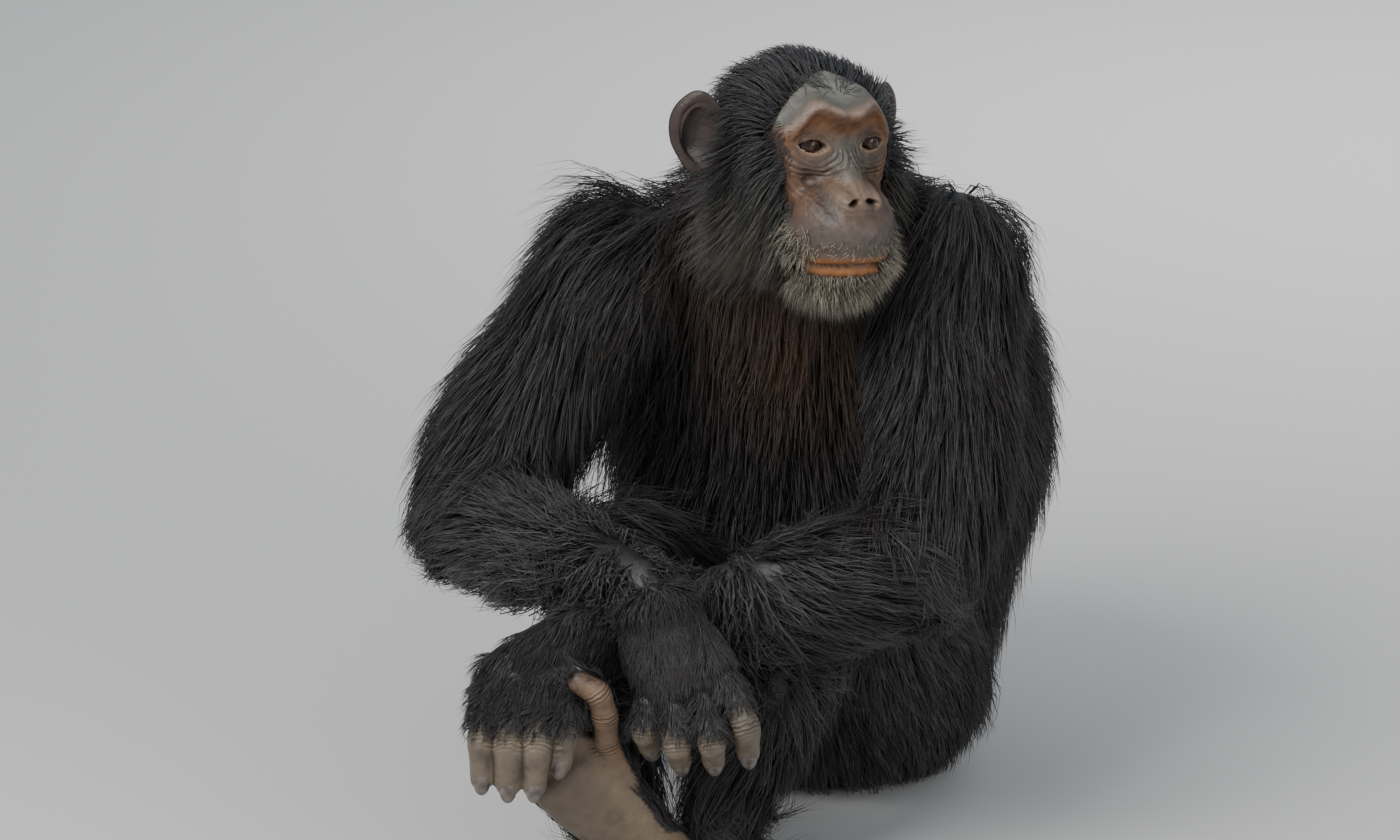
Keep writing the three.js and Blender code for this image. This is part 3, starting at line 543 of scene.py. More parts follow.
# The feet have a long narrow sole, four short toes and a strong big toe that stands apart like a
# thumb. The right foot stands on its heel with its sole forward, the left one lies flat.
TOE = 9.6
SOLE_CLEAR = 0.4
FEET = {
    "right": {
        "sole": [[(-140, -350, 34), 30, 27], [(-176, -368, 80), 32, 26], [(-212, -384, 125), 40, 22],
                 [(-238, -394, 158), 42, 17]],
        "caps": (28, 12),
        "across": (0.65, 0.25, 0.72),
        "digits": [
            [(-224, -392, 180), (-248, -402, 205), (-262, -405, 212)],
            [(-238, -393, 170), (-264, -402, 193), (-278, -405, 200)],
            [(-248, -395, 160), (-277, -402, 178), (-291, -405, 184)],
            [(-259, -395, 146), (-286, -402, 159), (-299, -405, 164)]],
        "big": [(-187, -380, 140), (-205, -396, 184), (-207, -410, 217), (-212, -416, 239),
                (-230, -412, 250)],
    },
    "left": {
        "sole": [[(-112, -318, 24), 28, 27], [(-100, -360, 26), 29, 26], [(-76, -418, 20), 36, 21],
                 [(-66, -448, 16), 39, 17]],
        "caps": (32, 16),
        "across": (0.93, 0.38, 0),
        "digits": [
            [(-50, -450, 14), (-36, -486, 13), (-29, -508, 10)],
            [(-34, -446, 14), (-17, -478, 13), (-10, -498, 10)],
            [(-70, -456, 14), (-57, -492, 13), (-51, -513, 10)],
            [(-88, -452, 14), (-78, -488, 13), (-73, -509, 10)]],
        "big": [(-100, -390, 20), (-122, -428, 18), (-128, -458, 15), (-122, -482, 12)],
    },
}


def points_of(piece):
    co = np.empty(len(piece.data.vertices) * 3)
    piece.data.vertices.foreach_get("co", co)
    return co.reshape(-1, 3) / MM


feet = []
for side, plan in FEET.items():
    sole = Limb(plan["sole"], plan["across"], plan["caps"])
    heel, ball_at = plan["sole"][1][0], plan["sole"][2][0]
    instep = Limb([[between(ANKLE[side], KNEE[side], 0.12), 31, 32], [ANKLE[side], 32, 33],
                   [between(ANKLE[side], heel, 0.9), 27, 27]], plan["across"], (8, 14))
    foot_parts = [flesh_ball("sole", sole, (0, 0), segments=32, rings=36),
                  flesh_ball("instep", instep, (0, 0), segments=28, rings=28)]
    for digit in plan["digits"]:
        foot_parts.append(digit_ball([between(ball_at, digit[0], 0.6)] + digit, TOE))
    foot_parts.append(digit_ball(plan["big"], TOE * 1.25))
    foot = fused("foot_" + side + "_skin", foot_parts, voxel=3.3, smoothing=4)
    p = points_of(foot)
    p[:, 2] = np.maximum(p[:, 2], SOLE_CLEAR)
    set_points(foot, p)
    feet.append(foot)

# The skin's colours follow its regions: tan and orange round the eyes, on the cheeks and the lips,
# grey on the forehead and the bridge of the nose, mauve on the upper lip and in the ears, and
# grey-brown on the hands and soles. Under the coat it is dark. Some light and shade is painted in:
# a highlight on the brow's rim, a sheen on the grey forehead, and shade in the wrinkles, beside the
# muzzle, in the mouth line, the nostrils, the eye openings, between the fingers and on the sole.
UNDER_COAT = (0.018, 0.016, 0.016)
FACE_TAN = (0.088, 0.050, 0.029)
FACE_ORANGE = (0.145, 0.058, 0.021)
FACE_DARK = (0.034, 0.022, 0.017)
FACE_GREY = (0.070, 0.067, 0.054)
FOREHEAD_GREY_SHEEN = (0.165, 0.158, 0.132)
BROW_HIGHLIGHT = (0.23, 0.16, 0.125)
NOSE_TAN = (0.175, 0.118, 0.078)
LIP_MAUVE = (0.085, 0.069, 0.058)
LIP_ORANGE = (0.31, 0.115, 0.028)
EAR_MAUVE = (0.045, 0.025, 0.020)
HAND_GREY = (0.088, 0.070, 0.052)
KNUCKLE_TAN = (0.200, 0.152, 0.102)
SOLE_TAN = (0.170, 0.120, 0.072)
TOE_ORANGE = (0.210, 0.105, 0.050)
MOUTH_LINE_SHADE = (0.035, 0.012, 0.008)
CHIN_PALE = (0.15, 0.12, 0.09)
LID_EDGE = (0.23, 0.145, 0.090)
LASH_DARK = (0.040, 0.024, 0.018)
EYE_HOLLOW_SHADE = (0.008, 0.005, 0.004)
NOSTRIL_SHADE = (0.012, 0.008, 0.007)
EAR_DARK = (0.030, 0.019, 0.016)
HAND_DARK = (0.045, 0.034, 0.028)
CREVICE_SHADE = (0.016, 0.012, 0.010)
TOE_DARK = (0.050, 0.030, 0.022)
FOLD_SCALE = 0.02
FINGER_BARE_BELOW = 222


def layered(base, *coats):
    """Colours laid one over the other, each with its share at every point."""
    colour = np.array(base)[None, :]
    for tint, share in coats:
        colour = mixed(colour, tint, np.clip(share, 0, 1)[:, None])
    return colour


def paint(piece, name, colours):
    tint = piece.data.color_attributes.new(name, "FLOAT_COLOR", "POINT")
    flat = np.ones((len(piece.data.vertices), 4))
    flat[:, :3] = colours
    tint.data.foreach_set("color", flat.ravel())


def head_colours(p):
    x, y, z = face_place(p)
    across, up = eye_plan(p)
    mouth = mouth_line(x)
    bare = bare_face(p)
    front = rise(y, 60, 85)
    gap = lid_gap(across, up)
    from_eye = np.hypot(across, up)
    eyes = y > 20
    line = brow_line(x)
    nose = np.maximum(bump(x, 0, 13) * bump(z, NOSE_LEVEL, 10),
                      bump(x, 15.5, 7) * bump(z, NOSE_LEVEL - 5, 8))
    lip_edge = rise(50 - x, 0, 10)
    return layered(
        UNDER_COAT,
        (FACE_TAN, bare),
        (FACE_DARK, bare * rise(waves(p, 30, 5), 0.1, 1.2) * 0.75),
        (FACE_ORANGE, bare * bump(z, line - 13, 11) * rise(60 - x, 0, 12) * (0.75 + 0.25 * waves(p, 18, 6))),
        (FACE_ORANGE, bare * bump(x, 47, 13) * bump(z, -22, 30) * (0.55 + 0.3 * waves(p, 20, 7))),
        (FACE_GREY, bare * rise(z, line + 1, line + 5) * 0.97),
        # The forehead is grey skin, made paler here by a painted sheen.
        (FOREHEAD_GREY_SHEEN, bare * rise(z, line + 3, line + 12) * (0.8 + 0.2 * waves(p, 16, 15))),
        (FACE_GREY, bump(x, 0, 14 - 0.05 * z) * rise(z, -30, -20) * rise(14 - z, 0, 12) * (y > 40) * 0.9),
        (FACE_GREY, bare * bump(from_eye, 17, 6) * (up < 0) * 0.35),
        # Painted highlight along the top edge of the brow ridge, where the light catches it.
        (BROW_HIGHLIGHT, eyes * bump(z, line + 1.0, 2.4) * rise(60 - x, 0, 14) * bare * 0.85),
        # Painted shade in the groove beside the muzzle, where the skin is pushed in.
        (FACE_DARK, bare * bump(x, 27, 3.2) * bump(z, NOSE_LEVEL - 2, 13) * (y > 55) * 0.6),
        (NOSE_TAN, nose * (y > 70) * 1.15),
        (LIP_MAUVE, front * bump(z, MOUTH_LEVEL + 24, 17) * (1 - nose) * 0.85),
        (FACE_DARK, front * bump(waves(p, 12, 9), 1.3, 0.5) * bump(z, MOUTH_LEVEL + 26, 20) * 0.4),
        # Painted shade in the troughs of the wrinkles.
        (FACE_DARK, rise(-wrinkles(p), 0.22, 0.75) * bare * 0.62),
        (LIP_ORANGE, front * bump(z, mouth + 4.2, 3.6) * lip_edge * (0.8 + 0.2 * waves(p, 14, 10))),
        (LIP_ORANGE, front * bump(z, mouth - 6, 5.0) * lip_edge * (0.8 + 0.2 * waves(p, 12, 11))),
        # Painted shade in the groove between the lips.
        (MOUTH_LINE_SHADE, front * bump(z, mouth, 1.5) * rise(52 - x, 0, 6)),
        (CHIN_PALE, front * rise(mouth - 10 - z, 0, 5) * bare * 0.9),
        (LID_EDGE, eyes * bump(gap, 1.4, 1.3) * (up < 1.0) * (from_eye < 16) * 0.9),
        (LASH_DARK, eyes * bump(gap, 0.4, 1.1) * (up > 0) * (from_eye < 15)),
        # Painted shade in the hollow behind the eyeball, between the lids.
        (EYE_HOLLOW_SHADE, eyes * (gap < -0.2) * (y < EYE_DEPTH + 2) * (from_eye < 13)),
        # Painted shade inside the nostrils.
        (NOSTRIL_SHADE, rise(nostril(p), 0.25, 0.75)),
    )


paint(head, "tint", head_colours(to_head_axes(points_of(head))))
paint(body, "tint", np.broadcast_to(UNDER_COAT, (len(body.data.vertices), 3)))
for piece in ears:
    p = points_of(piece)
    paint(piece, "tint", layered(EAR_MAUVE, (EAR_DARK, 0.5 + 0.5 * waves(p, 22, 8))))


def shape_of(piece):
    """The points, outward directions and triangles of a piece, for the coat to grow on."""
    mesh = piece.data
    mesh.calc_loop_triangles()
    corners = np.empty(len(mesh.loop_triangles) * 3, np.int32)
    mesh.loop_triangles.foreach_get("vertices", corners)
    outward = np.empty(len(mesh.vertices) * 3)
    mesh.vertices.foreach_get("normal", outward)
    return points_of(piece), outward.reshape(-1, 3), corners.reshape(-1, 3)


shapes = {"body": shape_of(body), "hand_right": shape_of(hands[0]), "hand_left": shape_of(hands[1]),
          "foot_right": shape_of(feet[0]), "foot_left": shape_of(feet[1])}

# The backs of the hands and feet are dark under their short hair. The bare fingers, toes and soles
# are grey to tan, pale on the knuckles, with rings of fine folds across each joint. Shade is
# painted in the grooves between the fingers and on the sole away from the big toe's column.
HAIRY = {
    "hand_right": dict(out=(-0.10, -0.93, 0.35), level=(200, 222)),
    "hand_left": dict(out=(-0.15, -0.80, 0.60), level=(206, 226)),
    "foot_right": dict(out=(-0.45, 0.86, 0.30), level=(40, 60)),
    "foot_left": dict(out=(0.0, -0.1, 1.0), level=(14, 24)),
}
ANKLE_HAIR = 62


def away(points, spot):
    return np.linalg.norm(points - spot, axis=1)


def nearest_of(points, spots):
    return np.min([away(points, spot) for spot in spots], axis=0)


def along_way(joints, shares):
    """Spots on the straight ways from each joint to the next."""
    return [between(joints[k], joints[k + 1], share) for k in range(len(joints) - 1) for share in shares]


def hairiness(name, points, outward):
    """How thickly hair grows at points on a hand or foot, 1 on its back and 0 on its bare skin."""
    facing = outward @ unit(np.array(HAIRY[name]["out"]))
    height = points[:, 2]
    thick = rise(facing, -0.35, 0.15) * rise(height, *HAIRY[name]["level"])
    if name.startswith("foot"):
        round_ankle = away(points[:, :2], ANKLE[name[5:]][:2]) < ANKLE_HAIR
        not_sole = facing > -0.75 if name == "foot_right" else 1
        thick = np.maximum(thick, rise(height, 52, 70) * round_ankle * not_sole)
    if name == "foot_left":
        return thick * rise(points[:, 1], -472, -446)
    if name.startswith("hand"):
        thumb = nearest_of(points, along_way(HANDS[name[5:]]["thumb"], (0, 0.5, 1)))
        thick = thick * rise(thumb, THUMB + 1, THUMB + 7)
    if name == "hand_right":
        thick = thick * np.maximum(rise(height, 222, 246), rise(-98 - points[:, 0], 0, 8))
    return thick


def joint_folds(points, digits, width):
    """The place along the digit from its nearest joint, and how strong the folds are there."""
    place, strength = np.zeros(len(points)), np.zeros(len(points))
    for digit in digits:
        for k in range(1, len(digit) - 1):
            axis = unit(np.array(digit[k + 1], float) - digit[k - 1])
            along = (points - digit[k]) @ axis
            edge = rise(width * 2.0 - away(points, digit[k]), 0, width * 0.5)
            near = bump(along, 0, width * 0.55) * edge
            place, strength = np.where(near > strength, along, place), np.maximum(near, strength)
    return np.stack([0.5 + place * FOLD_SCALE, strength, 0 * place], -1)


def crevices(points, digits, width):
    """1 in the narrow grooves between neighbouring digits, 0 elsewhere."""
    reach = [nearest_of(points, along_way(digit, np.linspace(0, 1, 9))) for digit in digits]
    first, second = np.sort(reach, axis=0)[:2]
    return bump(second - first, 0, 3.0) * rise(width * 1.6 - first, 0, width * 0.3)


for piece in [body, head] + ears:
    strength = 0 if piece is body else 0.10 if piece in ears else 0.22
    paint(piece, "fold", np.tile((0.5, strength, 0), (len(piece.data.vertices), 1)))
for piece, name in zip(hands + feet, HAIRY):
    p, outward, _ = shapes[name]
    side = name[5:]
    if name.startswith("hand"):
        plan = HANDS[side]
        folds = joint_folds(p, plan["digits"] + [plan["thumb"]], FINGER)
        tips = rise(FINGER_BARE_BELOW - p[:, 2], 0, 30)
        colours = layered(HAND_GREY, (KNUCKLE_TAN, 0.10 + 0.35 * tips + 0.14 * waves(p, 18, 3)),
                          (KNUCKLE_TAN, 0.85 * folds[:, 1] * tips),
                          (HAND_DARK, 0.35 * bump(waves(p, 12, 4), 1.2, 0.5)),
                          # Painted shade in the grooves between neighbouring fingers.
                          (CREVICE_SHADE, 0.9 * crevices(p, plan["digits"], FINGER)))
    else:
        plan = FEET[side]
        folds = joint_folds(p, plan["digits"] + [plan["big"]], TOE)
        big = bump(nearest_of(p, plan["big"][1:]), 0, 22)
        column = along_way([plan["sole"][0][0], plan["big"][0]], np.linspace(0.1, 1.1, 12))
        # The sole is painted greyer and darker away from the band along the big toe's column, as shade on
        # the rest of the sole.
        colours = layered(SOLE_TAN, (HAND_GREY, 0.62 - 0.55 * bump(nearest_of(p, column), 20, 14)),
                          (FACE_DARK, 0.35 * bump(waves(p, 26, 6), 1.0, 0.35)),
                          (TOE_ORANGE, big * (0.45 + 0.3 * waves(p, 16, 7))),
                          (TOE_DARK, big * 0.6 * bump(waves(p, 9, 9), 1.1, 0.4)))
    covered = 0.94 * hairiness(name, p, outward)[:, None]
    paint(piece, "tint", mixed(colours, UNDER_COAT, covered))
    paint(piece, "fold", folds)

# All the skin is one piece over the flesh nodes, a matt hide with pores, fine grain and rings of
# folds at the joints, whose troughs are painted darker as shade and whose crests are painted
# lighter as highlight. It rides on the still body with everything else.
skin = joined("skin", [body, head] + ears + hands + feet)
bpy.ops.object.shade_smooth()


def node(tree, kind, **settings):
    made = tree.nodes.new(kind)
    for key, value in settings.items():
        if key in made.inputs:
            made.inputs[key].default_value = value
        else:
            setattr(made, key, value)
    return made


def link(tree, *wires):
    """Joins sockets. Each wire is a node and its output, then the next node and its input."""
    for source, output, target, entry in wires:
        tree.links.new(source.outputs[output], target.inputs[entry])


def tinted_material(name, attribute, roughness, grain, contrast, bumps=(), folds=0):
    """A material coloured by an attribute and mottled by noise.

    Each bump is a scale, a depth in metres and a texture. folds is the spacing of joint folds, whose wave
    also darkens the colour in the troughs and lightens it on the crests, as painted shade and highlight.
    """
    material = bpy.data.materials.new(name)
    material.use_nodes = True
    tree = material.node_tree
    shader = tree.nodes["Principled BSDF"]
    shader.inputs["Roughness"].default_value = roughness
    place = node(tree, "ShaderNodeTexCoord")
    colour = node(tree, "ShaderNodeAttribute", attribute_name=attribute)
    noise = node(tree, "ShaderNodeTexNoise", Scale=grain, Detail=6.0)
    spread = node(tree, "ShaderNodeMapRange")
    spread.inputs["To Min"].default_value = 1 - contrast
    spread.inputs["To Max"].default_value = 1 + contrast
    mottle = node(tree, "ShaderNodeVectorMath", operation="SCALE")
    link(tree, (place, "Object", noise, "Vector"), (noise, "Fac", spread, "Value"),
         (colour, "Color", mottle, 0), (spread, "Result", mottle, "Scale"),
         (mottle, "Vector", shader, "Base Color"))
    normal = None
    if folds:
        fold = node(tree, "ShaderNodeAttribute", attribute_name="fold")
        parts = node(tree, "ShaderNodeSeparateColor")
        wobble = node(tree, "ShaderNodeTexNoise", Scale=140.0, Detail=2.0)
        phase = node(tree, "ShaderNodeMath", operation="MULTIPLY")
        phase.inputs[1].default_value = 2 * math.pi / (folds * FOLD_SCALE)
        bend = node(tree, "ShaderNodeMath", operation="MULTIPLY_ADD")
        bend.inputs[1].default_value = 7.0
        wave = node(tree, "ShaderNodeMath", operation="SINE")
        crest = node(tree, "ShaderNodeMath", operation="MULTIPLY")
        # The fold wave also scales the colour: painted shade in the troughs and painted highlight on the
        # crests.
        shade = node(tree, "ShaderNodeMath", operation="MULTIPLY_ADD")
        shade.inputs[1].default_value = 0.36
        shade.inputs[2].default_value = 1.0
        darker = node(tree, "ShaderNodeVectorMath", operation="SCALE")
        normal = node(tree, "ShaderNodeBump", Strength=0.8, Distance=0.0009)
        link(tree, (fold, "Color", parts, "Color"), (parts, "Red", phase, 0),
             (place, "Object", wobble, "Vector"), (wobble, "Fac", bend, 0), (phase, "Value", bend, 2),
             (bend, "Value", wave, 0), (wave, "Value", crest, 0), (parts, "Green", crest, 1),
             (crest, "Value", shade, 0), (mottle, "Vector", darker, 0),
             (shade, "Value", darker, "Scale"), (darker, "Vector", shader, "Base Color"),
             (crest, "Value", normal, "Height"))
    for scale, distance, kind in bumps:
        texture = node(tree, kind, Scale=scale)
        dent = node(tree, "ShaderNodeBump", Strength=0.6, Distance=distance)
        height = "Distance" if kind == "ShaderNodeTexVoronoi" else "Fac"
        link(tree, (place, "Object", texture, "Vector"), (texture, height, dent, "Height"))
        if normal:
            link(tree, (normal, "Normal", dent, "Normal"))
        normal = dent
    if normal:
        link(tree, (normal, "Normal", shader, "Normal"))
    return material


skin.data.materials.clear()
skin.data.materials.append(tinted_material(
    "bare_skin", "tint", roughness=0.52, grain=90.0, contrast=0.35,
    bumps=[(520.0, 0.0003, "ShaderNodeTexVoronoi"), (190.0, 0.0008, "ShaderNodeTexNoise")], folds=3.9))
FLESH_NODES = list(limbs) + ["head", "ear_right", "ear_left", "hand_right", "hand_left",
                             "foot_right", "foot_left"]
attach(skin, "root")
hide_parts(*FLESH_NODES)

# The eyes are dark brown balls with a nearly black rim and pupil, under a clear wet front.
# They look past the camera, to the animal's left and a little down.
GAZE = unit(np.array((0.22, 1.0, -0.06)))
GAZE_LEFT = unit(np.cross(GAZE, (0, 0, 1)))
GAZE_AXES = np.array([GAZE_LEFT, GAZE, np.cross(GAZE_LEFT, GAZE)])
EYE_WHITE = (0.016, 0.008, 0.006)
IRIS_BROWN = (0.050, 0.018, 0.008)
IRIS_RIM = (0.006, 0.004, 0.003)
PUPIL_BLACK = (0.002, 0.002, 0.002)
IRIS_ANGLE = 33
PUPIL_ANGLE = 15
for side, sign in (("right", -1), ("left", 1)):
    eye_at = np.array((sign * EYE_SPACING / 2, EYE_DEPTH, 0))

    def eyeball(rows, phi):
        level = np.cos(math.pi * rows)
        out = np.sin(math.pi * rows)
        bulge = 1 + 0.045 * rise(level, 0.80, 0.93)
        turned = np.stack([out * np.cos(phi), level, out * np.sin(phi)], -1)
        return in_head(turned @ GAZE_AXES * (EYE_RADIUS * bulge)[:, None] + eye_at)

    eye = shaped_ball("eyeball_" + side, segments=64, rings=48, place=eyeball)
    bpy.ops.object.shade_smooth()
    p = to_head_axes(points_of(eye)) - eye_at
    off_axis = np.degrees(np.arccos(np.clip(unit(p) @ GAZE, -1, 1)))
    paint(eye, "tint", layered(EYE_WHITE, (IRIS_BROWN, rise(IRIS_ANGLE - off_axis, 0, 5)),
                               (IRIS_RIM, bump(off_axis, IRIS_ANGLE + 1, 4)),
                               (PUPIL_BLACK, rise(PUPIL_ANGLE - off_axis, 0, 3))))
    eye.data.materials.clear()
    eye_finish = tinted_material("wet_eye_" + side, "tint", roughness=0.18, grain=300.0, contrast=0.25)
    eye_shader = eye_finish.node_tree.nodes["Principled BSDF"]
    eye_shader.inputs["Specular IOR Level"].default_value = 0.2
    eye_shader.inputs["Coat Weight"].default_value = 0.5
    eye_shader.inputs["Coat Roughness"].default_value = 0.03
    eye.data.materials.append(eye_finish)
    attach(eye, "root")
    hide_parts("eye_" + side)

# The nails are small curved plates of dull grey horn, set on the backs of the finger and toe tips.
# Each is a flattened ball, half sunk in the tip.
NAIL_SIZE = (7.2, 9.5, 2.2)
NAIL_GREY = (0.075, 0.062, 0.055)
NAIL_PALE = (0.16, 0.13, 0.11)


def nail(tip, before, backward):
    """One nail near the tip of a digit, on the side that its back faces."""
    along = unit(np.array(tip, float) - before)
    out = unit(np.array(backward) - along * (np.array(backward) @ along))
    across = np.cross(along, out)
    middle = tip + out * (FINGER * 0.74) + along * 1.5

    def place(rows, phi):
        x = NAIL_SIZE[0] * np.sin(math.pi * rows) * np.cos(phi)
        y = NAIL_SIZE[1] * np.sin(math.pi * rows) * np.sin(phi)
        z = NAIL_SIZE[2] * np.cos(math.pi * rows) - 0.055 * x * x
        return middle + x[:, None] * across + y[:, None] * along + z[:, None] * out

    return shaped_ball("nail", segments=20, rings=12, place=place)


nails = []
for side, plan in HANDS.items():
    for digit in plan["digits"] + [plan["thumb"]]:
        nails.append(nail(digit[-1], digit[-2], (0, -1, 0.25)))
for side, plan in FEET.items():
    for digit in plan["digits"] + [plan["big"]]:
        nails.append(nail(digit[-1], digit[-2], (0, 0.75, 0.6) if side == "right" else (0, 0, 1)))
nail_set = joined("nails", nails)
bpy.ops.object.shade_smooth()
paint(nail_set, "tint", layered(NAIL_GREY, (NAIL_PALE, 0.5 + 0.5 * waves(points_of(nail_set), 8, 2))))
nail_set.data.materials.clear()
nail_set.data.materials.append(tinted_material(
    "horn_nail", "tint", roughness=0.32, grain=200.0, contrast=0.2))
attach(nail_set, "root")

# The coat of the trunk and limbs is long coarse hair in thin tufts. They are rooted in the skin,
# lie the way that the hair runs on each part, and draw together in small locks towards their
# tips. It is black, with brown on the chest and a little grey, and each tuft is painted darker at
# its root as shade deep in the coat.
COAT_BLACK = (0.0145, 0.014, 0.015)
COAT_GREY = (0.055, 0.055, 0.058)
COAT_BROWN = (0.068, 0.042, 0.023)
CHEST_RUST = (0.165, 0.085, 0.042)
CHEST_MIDDLE = (-40, -150, 508)
CHEST_REACH = (85, 110, 95)
TUFT_SHARES = (0.0, 0.34, 0.70, 1.0)
TUFT_FACES = np.array([(0, 1, 2), (0, 2, 3), (0, 3, 1), (1, 4, 5), (1, 5, 2), (2, 5, 6), (2, 6, 3),
                       (3, 6, 4), (3, 4, 1), (4, 7, 5), (5, 7, 6), (6, 7, 4)])
TUFT_ALONG = np.repeat(TUFT_SHARES, (1, 3, 3, 1))
TUFT_ACROSS = np.array([0, 1, 0, -1, 1, 0, -1, 0])
PATCH_SIZE = (0.0013, 0.003)
LOWEST_HAIR = 0.6
ATLAS_CELLS = ["head", "torso", "neck", "hand_right", "hand_left", "foot_right", "foot_left"]


def atlas_spot(name, across, along):
    """The place of a root on the unwrap: each part has its own cell, across by along."""
    if name not in ATLAS_CELLS:
        ATLAS_CELLS.append(name)
    row, column = divmod(ATLAS_CELLS.index(name), 4)
    return np.stack([(column + 0.04 + 0.92 * across) / 4, (row + 0.04 + 0.92 * along) / 4], -1)


def tuft_mesh(name, lines, outward, width, tone_root, tone_tip, spots):
    """Thin three-edged spindles along lines of four points each, as one mesh."""
    count = len(lines)
    ahead = unit(lines[:, 2] - lines[:, 1])
    aside = unit(np.cross(ahead, outward))
    up = np.cross(aside, ahead)
    points = np.empty((count, 8, 3))
    points[:, 0], points[:, 7] = lines[:, 0], lines[:, 3]
    for ring, share in ((1, 1.0), (2, 0.70)):
        half = (width * share / 2)[:, None]
        first = 3 * ring - 2
        points[:, first] = lines[:, ring] + aside * half
        points[:, first + 1] = lines[:, ring] + up * half * 0.8
        points[:, first + 2] = lines[:, ring] - aside * half
    points[:, :, 2] = np.maximum(points[:, :, 2], LOWEST_HAIR)
    corners = (np.arange(count)[:, None, None] * 8 + TUFT_FACES).reshape(-1).astype(np.int32)
    mesh = bpy.data.meshes.new(name)
    mesh.vertices.add(count * 8)
    mesh.vertices.foreach_set("co", (points * MM).ravel())
    mesh.loops.add(len(corners))
    mesh.loops.foreach_set("vertex_index", corners)
    mesh.polygons.add(len(corners) // 3)
    mesh.polygons.foreach_set("loop_start", np.arange(0, len(corners), 3, dtype=np.int32))
    mesh.polygons.foreach_set("use_smooth", np.ones(len(corners) // 3, bool))
    mesh.update(calc_edges=True)
    patch = np.stack([spots[:, :1] + TUFT_ACROSS * PATCH_SIZE[0],
                      spots[:, 1:] + (TUFT_ALONG - 0.5) * PATCH_SIZE[1]], -1)
    unwrap = mesh.uv_layers.new(name="OFBake")
    unwrap.data.foreach_set("uv", patch.reshape(-1, 2)[corners].ravel())
    piece = bpy.data.objects.new(name, mesh)
    bpy.context.scene.collection.objects.link(piece)
    tone = mixed(tone_root[:, None], tone_tip[:, None], TUFT_ALONG[None, :, None])
    paint(piece, "tone", tone.reshape(-1, 3))
    mesh.materials.append(long_hair)
    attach(piece, "root")


def dark_tones(brown, grey):
    """Black hair with a share of brown tips and of grey strands, painted darker at the root as shade deep in
    the coat.
    """
    def tones(roots, draw):
        count = len(roots)
        shade = (draw.uniform(0.55, 1.5, count) * (1 + 0.22 * waves(roots, 60, 44)))[:, None]
        # The roots are painted darker than the tips, as shade deep in the coat.
        root = np.tile(np.array(COAT_BLACK) * 0.7, (count, 1)) * shade
        tip = np.tile(np.array(COAT_BLACK) * 2.0, (count, 1)) * shade
        browned = np.clip(brown + 0.6 * brown * waves(roots, 90, 12) + draw.normal(0, 0.15, count), 0, 1)
        tip = mixed(tip, COAT_BROWN, browned[:, None])
        greyed = (draw.uniform(0, 1, count) < grey)[:, None]
        return np.where(greyed, root * 1.8, root), np.where(greyed, np.array(COAT_GREY) * shade, tip)
    return tones


def chest_tones(roots, draw):
    """The same hair, reddish brown in the middle of the chest."""
    root, tip = dark_tones(0.15, 0.05)(roots, draw)
    rust = np.exp(-((roots - CHEST_MIDDLE) / CHEST_REACH) ** 2).prod(1)
    rust = (rust * draw.uniform(0.4, 1.1, len(roots)))[:, None]
    # Here too the roots are painted darker, as shade deep in the coat.
    return mixed(root, np.array(CHEST_RUST) * 0.6, rust), mixed(tip, CHEST_RUST, rust)


long_hair = tinted_material("long_hair", "tone", roughness=0.46, grain=120.0, contrast=0.2)
hair_shader = long_hair.node_tree.nodes["Principled BSDF"]
hair_shader.inputs["Specular IOR Level"].default_value = 0.35
hair_shader.inputs["Sheen Weight"].default_value = 0.12
hair_shader.inputs["Sheen Roughness"].default_value = 0.4

# How long the coat is on each part, how far its tips stand off the skin, which way along the part
# it lies (1 is away from the trunk), and how much of it there is for each bit of skin. A few
# spots carry fuller hair: each has a place, a reach, more stand, more length and how limp it is.
COATS = {
    "torso": dict(length=86, stand=27, lie=-1, thick=0.80, tones=dark_tones(0.30, 0.07)),
    "neck": dict(length=64, stand=19, lie=-1, thick=1.0, tones=dark_tones(0.25, 0.10)),
    "upper_arm": dict(length=80, stand=26, lie=1, thick=1.0, tones=dark_tones(0.22, 0.08)),
    "forearm": dict(length=60, stand=21, lie=-1, thick=1.15, tones=dark_tones(0.18, 0.12)),
    "thigh": dict(length=72, stand=23, lie=-1, thick=0.85, tones=dark_tones(0.22, 0.08)),
    "shin": dict(length=74, stand=29, lie=1, thick=0.95, tones=dark_tones(0.22, 0.14)),
}
GUIDE_SHARE = 0.13
FULLER = [
    ((-145, -70, 585), 52, 0.9, 0.35, 0.0),
    ((-196, 20, 390), 75, 1.1, 0.6, 0.8),
    ((-245, -90, 415), 62, 0.9, 0.5, 1.2),
    ((-205, -165, 325), 55, 0.9, 0.4, -0.6),
    ((-140, -322, 112), 56, 1.5, 0.8, 0.0),
]
BODY_TUFTS = 120000
COAT_BLEND = 16
SIDE_APART = 22
CHEST_FACES = (-0.259, -0.966, 0)
BACK_PARTED_AT = 330


